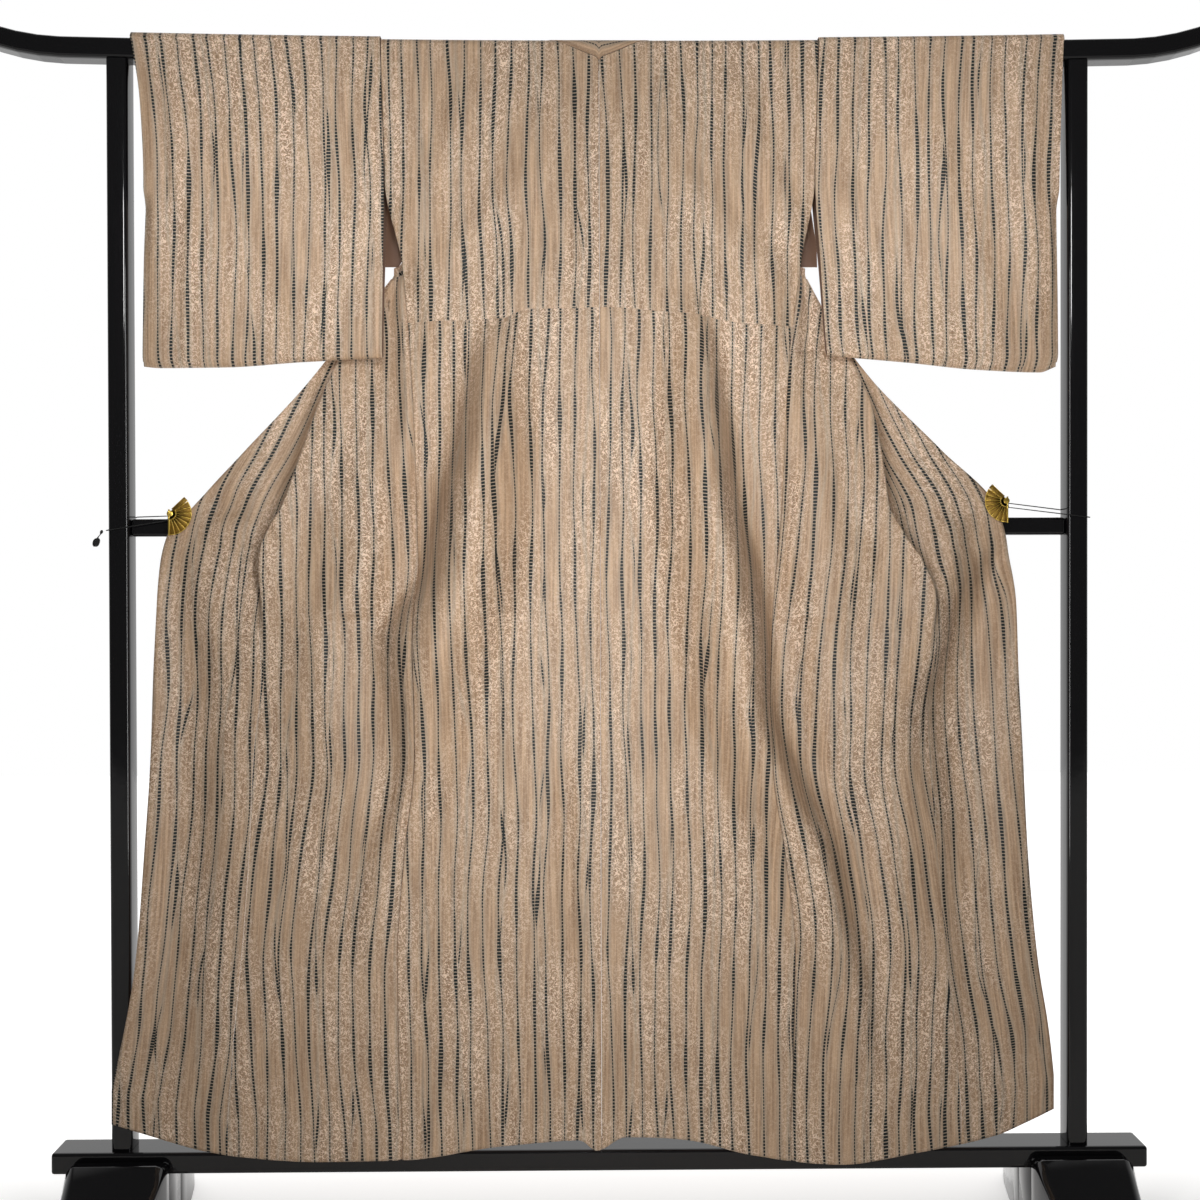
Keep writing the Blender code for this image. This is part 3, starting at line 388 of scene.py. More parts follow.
BAR_SLACK = 0.0032       # bar to the middle of the cloth
TURN = 0.0105            # radius of the cloth round the bar's edges
CROWN_HALF = BAR_DEPTH / 2 + BAR_SLACK - TURN
ARC = TURN * math.pi / 2
FACE = BAR_DEPTH / 2 + BAR_SLACK
SHOULDER = 0.308         # where the sleeves are sewn on
SLEEVE_LIFT = 0.004      # sleeves ride this much above the body


def over_bar(x, run, lift=0.0):
    """A point of cloth lying over the bar."""
    way = 1 if run >= 0 else -1
    run = abs(run)
    crown = bar_top(x) + BAR_SLACK + lift
    if run <= CROWN_HALF:
        return Vector((x, way * run, crown))
    if run <= CROWN_HALF + ARC:
        turn = (run - CROWN_HALF) / TURN
        return Vector((x, way * (CROWN_HALF + TURN * math.sin(turn)),
                       crown - TURN + TURN * math.cos(turn)))
    return Vector((x, way * FACE, crown - TURN - (run - CROWN_HALF - ARC)))


NECK_RUN = 0.0400        # the neckline's rows lie this far to each side of the crown
BODY_CROWN_ROWS = 52
COLLAR_CROWN_ROWS = 44
CHEST_TOP = 1.650        # the upper front hangs from here to CHEST_END
CHEST_END = 1.385
# where each piece was cut from the striped cloth, so that no two show the same part of it
CUT_AT = {"body": 0.31, "front": 0.47, "sleeve": 0.9, "overlap": 1.43, "collar": 2.6107}


# --- mesh helpers --------------------------------------------------------------------------------

def deselect():
    """Leaves nothing selected, so that an operator acts only on what is picked next."""
    for thing in bpy.context.selected_objects:
        thing.select_set(False)


def pick(thing):
    """Makes one object the only selected and the active one."""
    deselect()
    thing.select_set(True)
    bpy.context.view_layer.objects.active = thing


def apply_modifiers(thing):
    """Applies every modifier in order."""
    pick(thing)
    for modifier in list(thing.modifiers):
        bpy.ops.object.modifier_apply(modifier=modifier.name)


def coat(made, finish):
    """Gives a piece one finish all over."""
    made.data.materials.clear()
    made.data.materials.append(finish)


def shade(made):
    """Shades a piece smooth between its sharp edges."""
    made.data.shade_smooth()
    made.data.set_sharp_from_angle(angle=math.radians(50))


def joined(name, pieces):
    """Several pieces as one object."""
    pick(pieces[0])
    for piece in pieces:
        piece.select_set(True)
    bpy.ops.object.join()
    made = bpy.context.active_object
    made.name = name
    return made


def sheet_mesh(name, grid, charts, flip, shut=()):
    """A grid of points as a smooth mesh. Charts give each row's place on the flat cloth."""
    width = len(grid[0])
    points = [point for row in grid for point in row]
    faces, spots = [], []
    for i in range(len(grid) - 1):
        for j in range(width - 1):
            corners = [(i, j), (i, j + 1), (i + 1, j + 1), (i + 1, j)]
            if flip:
                corners.reverse()
            faces.append([r * width + c for r, c in corners])
            spots.extend(charts(i, r, c) for r, c in corners)
    for corners in shut:
        faces.append([r * width + c for r, c in corners])
        spots.extend(charts(corners[0][0], r, c) for r, c in corners)
    mesh = bpy.data.meshes.new(name)
    mesh.from_pydata(points, [], faces)
    layer = mesh.uv_layers.new(name="cloth")
    layer.data.foreach_set("uv", [value for spot in spots for value in spot])
    mesh.shade_smooth()
    made = bpy.data.objects.new(name, mesh)
    bpy.context.collection.objects.link(made)
    return made


def give_wall(made, thickness, silk, lining):
    """Turns a sheet into silk outside and lining inside."""
    coat(made, silk)
    made.data.materials.append(lining)
    wall = made.modifiers.new("wall", "SOLIDIFY")
    wall.thickness = thickness
    wall.offset = 0.0
    wall.use_even_offset = False
    wall.use_quality_normals = True
    wall.material_offset = 1
    wall.material_offset_rim = 0
    apply_modifiers(made)


def settle(made, node):
    """Puts a finished piece on the frame in place of its CAD node."""
    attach(made, "root")
    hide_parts(node)


# --- the garment's surfaces ----------------------------------------------------------------------

HEM = 0.118
FRONT_TOP = 1.368
SLEEVE_END = 1.500
SLEEVE_TOP = 1.706
CURL = 0.045
TUCK_ROW = 1.310
TUCK_EDGE = 0.0012       # rows beside the tuck's seam, and where the even rows begin
TUCK_CLEAR = 0.003
TUCK_SHIFT = (0.0065, 0.210) # the pattern jumps at the tuck
PLEAT_OPENS = 0.970
PLEAT_OPEN = 0.857
LEAST_LAYER = 0.003
SIDE_UNDER = 0.0012      # the front goes this far under the back at their seam
SIDE_BEHIND = 0.0044     # and hangs this much behind it there
SEAM_GAP = 0.0004        # the sewn seam inside the pleat is drawn shut


def fade_to_lines(x, z):
    """Moves a height so that rows follow the hem's line at the bottom and the tuck's seam."""
    hem = smooth((0.45 - z) / (0.45 - HEM)) * (read("hem", "height", x, key="reach") - HEM)
    tuck = (smooth(1 - abs(z - TUCK_ROW) / 0.060)
            * (read("tuck", "height", x, key="reach") - TUCK_ROW))
    return z + hem + (tuck if abs(x) < 0.30 else 0.0)


def back_reach(side, z):
    """The outer edge of a back panel: sleeve seam above, side seam below."""
    if z >= SLEEVE_END:
        return read("sleeve", "inner_" + side, z)
    lower = read("skirt_" + side, "side", z)
    share = smooth((z - FRONT_TOP) / (SLEEVE_END - FRONT_TOP))
    return lower + (read("sleeve", "inner_" + side, SLEEVE_END) - lower) * share


def back_point(side, x, z):
    """A point of a back panel, hanging in front of the stand and curling in at its side seam."""
    edge = back_reach(side, z)
    depth = read("depth", "back", z)
    depth += (read("depth", "seam", z) - depth) * smooth((abs(x) - edge + CURL) / CURL)
    dip = seam_dip(abs(x)) + seam_dip(edge - abs(x)) + 0.8 * seam_dip(abs(z - TUCK_ROW))
    return Vector((x, depth - relief(x, z) + dip, fade_to_lines(x, z)))


def row_heights(spacing):
    """Row heights of a back panel from hem to bar, closer together at the tuck."""
    low = spread(HEM, TUCK_ROW - TUCK_CLEAR, round((TUCK_ROW - HEM) / spacing))
    high = spread(TUCK_ROW + TUCK_CLEAR, CHEST_TOP, round((CHEST_TOP - TUCK_ROW) / spacing))
    return low + [TUCK_ROW - TUCK_EDGE, TUCK_ROW, TUCK_ROW + TUCK_EDGE] + high


def build_body(side, spacing, thickness, silk, lining):
    """A body panel in one length: back hem, over the bar, and down to the front's pleat."""
    way = SIDES[side]
    columns = round(0.30 / spacing)
    shares = seamed(0.0, 1.0, 1 / columns, seams=(0.004, 0.010))
    grid, tuck_index = [], 0
    for z in row_heights(spacing):
        if z <= TUCK_ROW:
            tuck_index = len(grid)
        edge = back_reach(side, z) - SEWN / 2
        grid.append([back_point(side, way * (SEWN / 2 + (edge - SEWN / 2) * t), z)
                     for t in shares])
    for outer_run in spread(-NECK_RUN, NECK_RUN, BODY_CROWN_ROWS):
        run = read("neckline", "run", outer_run, key="outer_run")
        inner = max(read("neckline", "reach", outer_run, key="outer_run"), SEWN / 2)
        outer = read("sleeve", "inner_" + side, bar_top(SHOULDER) - abs(outer_run)) - TOUCH
        grid.append([over_bar(way * (inner + (outer - inner) * t), run + (outer_run - run) * t)
                     for t in shares])
    for z in spread(CHEST_TOP, CHEST_END, round((CHEST_TOP - CHEST_END) / spacing)):
        depth = read("depth", "overlap", z)
        low, high = read("chest", "collar", z), read("chest", "sleeve", z) - TOUCH
        grid.append([Vector((way * (low + (high - low) * t),
                             depth + loose(2 + way * (low + (high - low) * t), z, 5.0), z))
                     for t in shares])
    lengths = [[point.z for point in grid[0]]]
    for lower, upper in zip(grid, grid[1:]):
        lengths.append([run + math.hypot(b.y - a.y, b.z - a.z)
                        for run, a, b in zip(lengths[-1], lower, upper)])

    def chart(face_row, r, c):
        shift = TUCK_SHIFT if face_row >= tuck_index else (0.0, 0.0)
        return (way * (abs(grid[r][c].x) + CUT_AT["body"]) + shift[0],
                lengths[r][c] + shift[1])

    made = sheet_mesh("back_" + side, grid, chart, flip=way < 0)
    give_wall(made, thickness, silk, lining)
    settle(made, "body_" + side)


@lru_cache(maxsize=None)
def pleat_fold(z):
    """The angle and radius of the pleat's folds at a height; their length stays the same."""
    held = max(z, PLEAT_OPENS)
    length = math.pi * (read("depth", "overlap", held) - read("depth", "hanging", held)) / 4
    share = min(1.0, max(0.0, (z - PLEAT_OPEN) / (PLEAT_OPENS - PLEAT_OPEN)))
    angle = max(math.pi * share, 0.001)
    return angle, length / angle


def hanging_depth(side, reach, z):
    """How far towards +Y the opened front hangs, from the side seam outward."""
    start = read("skirt_" + side, "side", z)
    width = min(0.030, 0.6 * (read("skirt_" + side, "overlap", z) - start))
    seam = read("depth", "seam", z)
    return seam + (read("depth", "hanging", z) - seam) * smooth((reach - start) / width)


TURN_STEPS = 9
LIP_WIDTH = 0.060        # of the opened front, lifted towards its rolled edge
UNDER_STEPS = 5


def front_path(side, z, columns):
    """The opened front at one height: from the side seam outward, then back into the pleat."""
    seam = read("skirt_" + side, "side", z)
    start = seam - SIDE_UNDER
    edge = read("skirt_" + side, "overlap", z)
    angle, radius = pleat_fold(z)
    turn_from = edge - radius * math.sin(min(angle, math.pi / 2))
    outer = hanging_depth(side, edge, z)
    lip = read("lip", "out", z)
    path = [(start + (turn_from - start) * t,
             hanging_depth(side, start + (turn_from - start) * t, z)
             + SIDE_BEHIND * smooth(1 - ((turn_from - start) * t - 2 * SIDE_UNDER) / 0.006)
             - lip * smooth(1 - (turn_from - start) * (1 - t) / LIP_WIDTH))
            for t in seamed(0, 1, 1 / columns, seams=(0.005, 0.012))]
    path += [(turn_from + radius * math.sin(turn),
              outer + radius * (1 - math.cos(turn)) - lip * (1 - smooth(turn / angle)))
             for turn in spread(0, angle, TURN_STEPS)[1:]]
    under = max(read("skirt_" + side, "pleat", z) - radius, LEAST_LAYER)
    last_reach, last_depth = path[-1]
    return path + [(last_reach + part * math.cos(angle), last_depth + part * math.sin(angle))
                   for part in spread(0, under, UNDER_STEPS)[1:]]


def overlap_path(side, z, columns):
    """The overlap panel at one height: out of the pleat and outward to its edge."""
    angle, radius = pleat_fold(z)
    last_reach, last_depth = front_path(side, z, 4)[-1]
    seam_reach = last_reach + SEAM_GAP * math.cos(angle)
    seam_depth = last_depth + SEAM_GAP * math.sin(angle)
    turn = [(seam_reach + radius * (math.sin(angle) - math.sin(angle - part)),
             seam_depth + radius * (math.cos(angle - part) - math.cos(angle)))
            for part in spread(0, angle, TURN_STEPS)]
    end = read("skirt_" + side, "front", z)
    reach, depth = turn[-1]
    settled = read("depth", "overlap", z)
    return turn + [(reach + (end - reach) * t, depth + (settled - depth) * smooth(2 * t))
                   for t in spread(0, 1, columns)[1:]]


def build_skirt_piece(name, node, side, path, columns, grain, facts, spacing, wall):
    """The opened front or the overlap, from under the sleeve down to the hem."""
    way = SIDES[side]
    heights = spread(FRONT_TOP, HEM, round((FRONT_TOP - HEM) / spacing))
    grid, places = [], []
    for z in heights:
        row = path(side, z, columns)
        across = 0.0
        placed = [0.0]
        for (x0, y0), (x1, y1) in zip(row, row[1:]):
            across += math.hypot(x1 - x0, y1 - y0)
            placed.append(across)
        guide = read("skirt_" + side, grain, z)
        places.append([way * (row[0][0] - guide + part) for part in placed])
        grid.append([Vector((way * reach, depth - relief(way * reach, z),
                             fade_to_lines(way * reach, z))) for reach, depth in row])

    def chart(face_row, r, c):
        return places[r][c] + facts["shift"], heights[r]

    made = sheet_mesh(name, grid, chart, flip=way > 0)
    give_wall(made, *wall)
    settle(made, node)


def sleeve_half(side, share, way, steps):
    """One layer of a sleeve, from beside the crown to beside the lower fold."""
    low = read("bottom", side, share, key="share")
    layer = "back" if way < 0 else "front"
    radius = (read("bag", "front", low) - read("bag", "back", low)) / 2
    middle = (read("bag", "front", low) + read("bag", "back", low)) / 2

    def x_at(z):
        inner = read("sleeve", "inner_" + side, z) + TOUCH / 2
        return SIDES[side] * (inner + (read("sleeve", "cuff_" + side, z) - inner) * share)

    crown_x = x_at(SLEEVE_TOP)
    points = [over_bar(crown_x, way * run, SLEEVE_LIFT)
              for run in spread(0, CROWN_HALF + ARC, 12)[1:]]
    top = points[-1].z - 0.004
    for z in spread(top, low + radius, steps):
        x = x_at(z)
        stand = loose(x, z, 11.0) if way < 0 else -loose(x, z, 23.0)
        points.append(Vector((x, read("bag", layer, z) - stand, z)))
    for turn in spread(0, math.pi / 2, 6)[1:-1]:
        points.append(Vector((x_at(low), middle + way * radius * math.cos(turn),
                              low + radius * (1 - math.sin(turn)))))
    return points


CUFF_OPENING = 0.225
SLEEVE_WIDTH = 0.34
SLEEVE_HANG = 0.44       # from the bar to the lower fold
SLEEVE_CUT_TOP = 0.37
SEWN_SHUT = 0.85         # how far the cuff's two layers close below the opening
SHUT_WITHIN = 0.014      # of the cuff's edge


def build_sleeve(side, spacing, thickness, silk, lining):
    """A flat tube hung over the bar, its outer edge sewn shut below the open cuff."""
    way = SIDES[side]
    shares = seamed(0.0, 1.0, spacing / SLEEVE_WIDTH, seams=(0.004, 0.009))
    steps = round(SLEEVE_HANG / spacing)
    grid = []
    for share in shares:
        low = read("bottom", side, share, key="share")
        back, front = (sleeve_half(side, share, layer, steps) for layer in (-1, 1))
        middle = (read("bag", "front", low) + read("bag", "back", low)) / 2
        crown = over_bar(back[0].x, 0.0, SLEEVE_LIFT)
        grid.append([crown] + back + [Vector((back[-1].x, middle, low))] + front[::-1] + [crown])
    count = len(grid[0])
    half = count // 2
    shut_below = BAR_MIDDLE_TOP - CUFF_OPENING
    for row, share in zip(grid, shares):
        near = smooth(1 - (1 - share) * SLEEVE_WIDTH / SHUT_WITHIN)
        for j in range(1, half):
            other = count - 1 - j
            centre = (row[j].y + row[other].y) / 2
            closing = near * smooth((shut_below + 0.02 - row[j].z) / 0.03) * SEWN_SHUT
            row[j] = Vector((row[j].x, row[j].y + (centre - row[j].y) * closing, row[j].z))
            row[other] = Vector((row[other].x, row[other].y + (centre - row[other].y) * closing,
                                 row[other].z))
    last = len(grid) - 1
    sewn = [j for j in range(1, half) if grid[last][j].z < shut_below]
    shut = [((last, a), (last, b), (last, count - 1 - b), (last, count - 1 - a))
            for a, b in zip(sewn, sewn[1:])]
    shut.append(((last, sewn[-1]), (last, half), (last, count - 1 - sewn[-1])))
    if way < 0:
        shut = [corners[::-1] for corners in shut]
    lengths = [0.0]
    middle_row = grid[len(grid) // 2]
    for a, b in zip(middle_row, middle_row[1:]):
        lengths.append(lengths[-1] + (b - a).length)

    def chart(face_row, r, c):
        return (way * (0.02 + SLEEVE_WIDTH * shares[r]) + CUT_AT["sleeve"],
                SLEEVE_CUT_TOP - lengths[c])

    made = sheet_mesh("sleeve_" + side + "_silk", grid, chart, flip=way < 0, shut=shut)
    pick(made)
    bpy.ops.object.mode_set(mode="EDIT")
    bpy.ops.mesh.select_all(action="SELECT")
    bpy.ops.mesh.remove_doubles(threshold=0.00005)
    bpy.ops.object.mode_set(mode="OBJECT")
    give_wall(made, thickness, silk, lining)
    settle(made, "sleeve_" + side)


COLLAR_WIDTH = 0.055
COLLAR_GAP = 0.0002
COLLAR_BEHIND = 0.0036
COLLAR_LIFT = 0.0006
COLLAR_SLANT = math.radians(38)
COLLAR_ENDS = {"left": 1.024, "right": 1.036}


def collar_half(side, spacing):
    """Rows of the collar from the back of the neck to the clip."""
    way = SIDES[side]
    rows = []
    widths = spread(0, 1, round(COLLAR_WIDTH / spacing) * 2)
    for outer_run in spread(-NECK_RUN, NECK_RUN, COLLAR_CROWN_ROWS):
        run = read("neckline", "run", outer_run, key="outer_run") + COLLAR_GAP
        sewn = max(read("neckline", "reach", outer_run, key="outer_run") - COLLAR_GAP, 0.0)
        free_run = read("neck", "free_run", outer_run, key="outer_run")
        free = read("neck", "free", outer_run, key="outer_run")
        rows.append([over_bar(way * (sewn + (free - sewn) * t), run + (free_run - run) * t,
                              COLLAR_LIFT) for t in widths])
    for z in spread(1.652, COLLAR_ENDS[side], round(0.62 / spacing)):
        depth = read("depth", "overlap", z) + COLLAR_BEHIND * smooth((1.46 - z) / 0.06)
        seam = "chest" if z > CHEST_END else "skirt_" + side
        sewn = read(seam, "collar" if z > CHEST_END else "front", z) - COLLAR_GAP
        row = []
        for t in widths:
            x = way * (sewn - COLLAR_WIDTH * t * math.cos(COLLAR_SLANT))
            low = z - COLLAR_WIDTH * t * math.sin(COLLAR_SLANT)
            behind = read("depth", "overlap", low) - read("depth", "overlap", z)
            row.append(Vector((x, depth + max(0.0, behind) - relief(x, low)
                               * smooth((FRONT_TOP + 0.02 - low) / 0.03), low)))
        rows.append(row)
    return rows


def build_collar(spacing, thickness, silk):
    """The collar in one length, folded double, from clip to clip round the neck."""
    grid = collar_half("left", spacing)[:0:-1] + collar_half("right", spacing)
    lengths = [0.0]
    for upper, lower in zip(grid, grid[1:]):
        lengths.append(lengths[-1] + (lower[0] - upper[0]).length)
    columns = len(grid[0]) - 1

    def chart(face_row, r, c):
        return CUT_AT["collar"] + COLLAR_WIDTH * c / columns, lengths[r]

    made = sheet_mesh("collar_silk", grid, chart, flip=False)
    give_wall(made, thickness, silk, silk)
    settle(made, "collar")


# --- the stand's and the clips' hard pieces ------------------------------------------------------

def pick_parts(made, kind, wanted):
    """In edit mode, selects the faces or edges whose middle and direction are wanted."""
    bpy.ops.mesh.select_mode(type=kind)
    bpy.ops.mesh.select_all(action="DESELECT")
    bm = bmesh.from_edit_mesh(made.data)
    for part in bm.faces if kind == "FACE" else bm.edges:
        if kind == "FACE":
            middle, facing = part.calc_center_median(), part.normal
        else:
            a, b = (corner.co for corner in part.verts)
            middle, facing = (a + b) / 2, (b - a).normalized()
        part.select_set(bool(wanted(middle, facing)))
    bm.select_flush_mode()
    bmesh.update_edit_mesh(made.data)


def add_block(name, centre, size):
    """A box at its size and place, with its object at the origin."""
    deselect()
    bpy.ops.mesh.primitive_cube_add(size=1.0, location=centre, scale=size)
    made = bpy.context.active_object
    made.name = name
    bpy.ops.object.transform_apply(location=True, rotation=True, scale=True)
    return made


def soften(made, width, segments=3):
    """Rounds the sharp edges that are left, and shades the piece smooth between sharp ones."""
    rounding = made.modifiers.new("rounding", "BEVEL")
    rounding.width = width
    rounding.segments = segments
    rounding.limit_method = "ANGLE"
    rounding.angle_limit = math.radians(35)
    rounding.harden_normals = True
    apply_modifiers(made)
    shade(made)


def build_post(side, lacquer):
    """A square post with rounded upright edges, standing flat on the beam."""
    low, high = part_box("post_" + side)
    made = add_block("post_" + side + "_lacquer", (low + high) / 2, high - low)
    bpy.ops.object.mode_set(mode="EDIT")
    pick_parts(made, "EDGE", lambda middle, facing: abs(facing.z) > 0.9)
    bpy.ops.mesh.bevel(offset=0.006, segments=6, affect="EDGES")
    bpy.ops.object.mode_set(mode="OBJECT")
    shade(made)
    coat(made, lacquer)
    settle(made, "post_" + side)


# A foot's arm from the beam to its toe: how far out, its width and its height
Station = namedtuple("Station", "out width height")
FOOT_STATIONS = table(
    Station,
    (0.045, 0.138, 0.113), (0.065, 0.134, 0.103), (0.09, 0.128, 0.088), (0.115, 0.121, 0.07),
    (0.14, 0.113, 0.053), (0.165, 0.104, 0.039), (0.185, 0.094, 0.027), (0.199, 0.082, 0.017))
FOOT_WIDTH = 0.140       # under the beam
FOOT_SHOULDER = 0.034    # rounding of a foot's long upper edges


def build_foot(side, lacquer):
    """A foot: a block under the beam, with an arm swept down to a toe at the front and back."""
    low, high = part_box("foot_" + side)
    beam_low, beam_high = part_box("base_beam")
    centre = (low.x + high.x) / 2
    pieces = []
    for way in (-1, 1):
        start = way * (beam_high.y + TOUCH)
        first = FOOT_STATIONS[0]
        depth = abs(first.out - abs(start))
        made = add_block("arm", (centre, start + way * depth / 2, high.z / 2),
                         (FOOT_WIDTH, depth, high.z))
        bpy.ops.object.mode_set(mode="EDIT")
        before = first.out
        width, height = FOOT_WIDTH, high.z
        for station in FOOT_STATIONS[1:]:
            pick_parts(made, "FACE", lambda middle, facing: facing.y * way > 0.5
                       and abs(middle.y) > before - 0.001)
            bpy.ops.mesh.extrude_region_move(
                TRANSFORM_OT_translate={"value": (0, way * (station.out - before), 0)})
            bpy.ops.transform.resize(
                value=(station.width / width, 1, station.height / height),
                center_override=(centre, way * station.out, 0))
            before, width, height = station.out, station.width, station.height
        pick_parts(made, "EDGE", lambda middle, facing: middle.z > 0.010 and abs(facing.y) > 0.4
                   and abs(middle.x - centre) > 0.02)
        bpy.ops.mesh.bevel(offset=FOOT_SHOULDER, segments=7, affect="EDGES", clamp_overlap=True)
        bpy.ops.object.mode_set(mode="OBJECT")
        pieces.append(made)
    hub_height = beam_low.z - TOUCH
    pieces.append(add_block("hub", (centre, 0, hub_height / 2),
                            (FOOT_WIDTH, 2 * (beam_high.y + TOUCH), hub_height)))
    made = joined("foot_" + side + "_lacquer", pieces)
    soften(made, 0.0025)
    coat(made, lacquer)
    settle(made, "foot_" + side)


FAN_RIBS = 8
FAN_START = math.radians(-92)
FAN_END = math.radians(33)
FAN_HUB = 0.0085
FAN_RADIUS = 0.0305
FAN_THICK = 0.0016


def add_bar(start, end, width, thick, front):
    """A thin bar between two places in the fan's plane, its face at front."""
    middle = (start + end) / 2
    along = end - start
    deselect()
    bpy.ops.mesh.primitive_cube_add(size=1.0, location=(middle.x, front + thick / 2, middle.z),
                                    rotation=(0, math.atan2(-along.z, along.x), 0),
                                    scale=(along.length, thick, width))
    bpy.ops.object.transform_apply(location=True, rotation=True, scale=True)
    return bpy.context.active_object


def build_fan(side, brass, recess):
    """A folding fan in pressed brass: bright raised ribs and rims round darkened hollows."""
    way = SIDES[side]
    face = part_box("fan_" + side)[0].y
    clip_low, clip_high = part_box("clip_" + side)
    web = clip_high.x if way > 0 else clip_low.x
    hub = Vector((web - way * 0.003, 0, (clip_low.z + clip_high.z) / 2 + 0.010))

    def at(radius, turn):
        return hub + Vector((-way * math.cos(turn) * radius, 0, math.sin(turn) * radius))

    turns = spread(FAN_START, FAN_END, FAN_RIBS)
    hollows, raised = [], []
    reach = (FAN_HUB + FAN_RADIUS) / 2
    for a, b in zip(turns, turns[1:]):
        middle = (a + b) / 2
        hollows.append(add_bar(at(0.002, middle), at(FAN_RADIUS - 0.0012, middle),
                               2 * reach * math.sin((b - a) / 2) * 1.25, 0.0014, face + 0.0012))
        raised.append(add_bar(at(FAN_RADIUS - 0.0006, a), at(FAN_RADIUS - 0.0006, b),
                              0.0012, FAN_THICK, face + 0.0002))
        raised.append(add_bar(at(FAN_HUB, a), at(FAN_HUB, b), 0.0013, FAN_THICK, face + 0.0002))
    for turn in turns:
        raised.append(add_bar(at(FAN_HUB, turn), at(FAN_RADIUS, turn), 0.0011, FAN_THICK, face))
    # the outermost rib is a plain flat strip
    guard = math.radians(43)
    hollows.append(add_bar(at(0.006, guard), at(FAN_RADIUS, guard), 0.0062, 0.0014,
                           face + 0.0010))
    for shift in (-0.0031, 0.0031):
        across = Vector((way * math.sin(guard), 0, math.cos(guard))) * shift
        raised.append(add_bar(at(0.006, guard) + across, at(FAN_RADIUS, guard) + across,
                              0.0007, 0.0014, face + 0.0006))
    # the bright edge of the clip's spring beside the hub
    edge = hub + Vector((way * 0.0015, 0, 0))
    raised.append(add_bar(edge + Vector((0, 0, 0.006)), edge - Vector((0, 0, 0.031)),
                          0.0022, 0.0018, face + 0.0004))
    deselect()
    bpy.ops.mesh.primitive_cylinder_add(vertices=28, radius=0.0044, depth=0.0026,
                                        location=(hub.x, face + 0.0013, hub.z),
                                        rotation=(math.pi / 2, 0, 0))
    bpy.ops.object.transform_apply(location=True, rotation=True, scale=True)
    raised.append(bpy.context.active_object)
    for group, finish in ((hollows, recess), (raised, brass)):
        for piece in group:
            coat(piece, finish)
    made = joined("fan_" + side + "_brass", hollows + raised)
    soften(made, 0.00025, 2)
    settle(made, "fan_" + side)


# --- materials -----------------------------------------------------------------------------------

def linear(code):
    """An sRGB hex colour as linear RGBA."""
    parts = [int(code[i:i + 2], 16) / 255 for i in (1, 3, 5)]
    return [p / 12.92 if p <= 0.04045 else ((p + 0.055) / 1.055) ** 2.4 for p in parts] + [1.0]


def join(tree, node, links):
    """Links outputs, or other nodes' first outputs, to a node's sockets."""
    for name, source in links.items():
        tree.links.new(getattr(source, "outputs", [source])[0], node.inputs[name])


def add_node(tree, kind, settings=None, links=None):
    """Adds a node with its properties, sockets (a hex code for a colour) and links."""
    node = tree.nodes.new("ShaderNode" + kind)
    for name, value in (settings or {}).items():
        if isinstance(name, str) and hasattr(node, name):
            setattr(node, name, value)
        else:
            node.inputs[name].default_value = linear(value) if isinstance(value, str) else value
    join(tree, node, links or {})
    return node


def new_material(name, settings):
    """A material whose Principled shader has the settings that are the same all over."""
    made = bpy.data.materials.new(name)
    made.use_nodes = True
    shader = made.node_tree.nodes["Principled BSDF"]
    for socket, value in settings.items():
        shader.inputs[socket].default_value = value
    return made, made.node_tree, shader


# A family of woven stripes: distance apart, half the widest and the thinnest one (below zero
# where they end), how far they wander, and which of the pattern's variants they follow
Stripes = namedtuple("Stripes", "apart widest thinnest wander variant")
STRIPES = table(
    Stripes, (0.0215, 0.0034, 0.0009, 0.018, 3.0), (0.0570, 0.0034, -0.0010, 0.036, 41.0))
DASH = 0.0047            # length of a dash and its gap along a stripe
DASH_SHARE = 0.37        # half the dash, as a share of that
RGBA = {"data_type": "RGBA"}
COLOUR = 2               # the output of a colour mix; its two colours are inputs 6 and 7


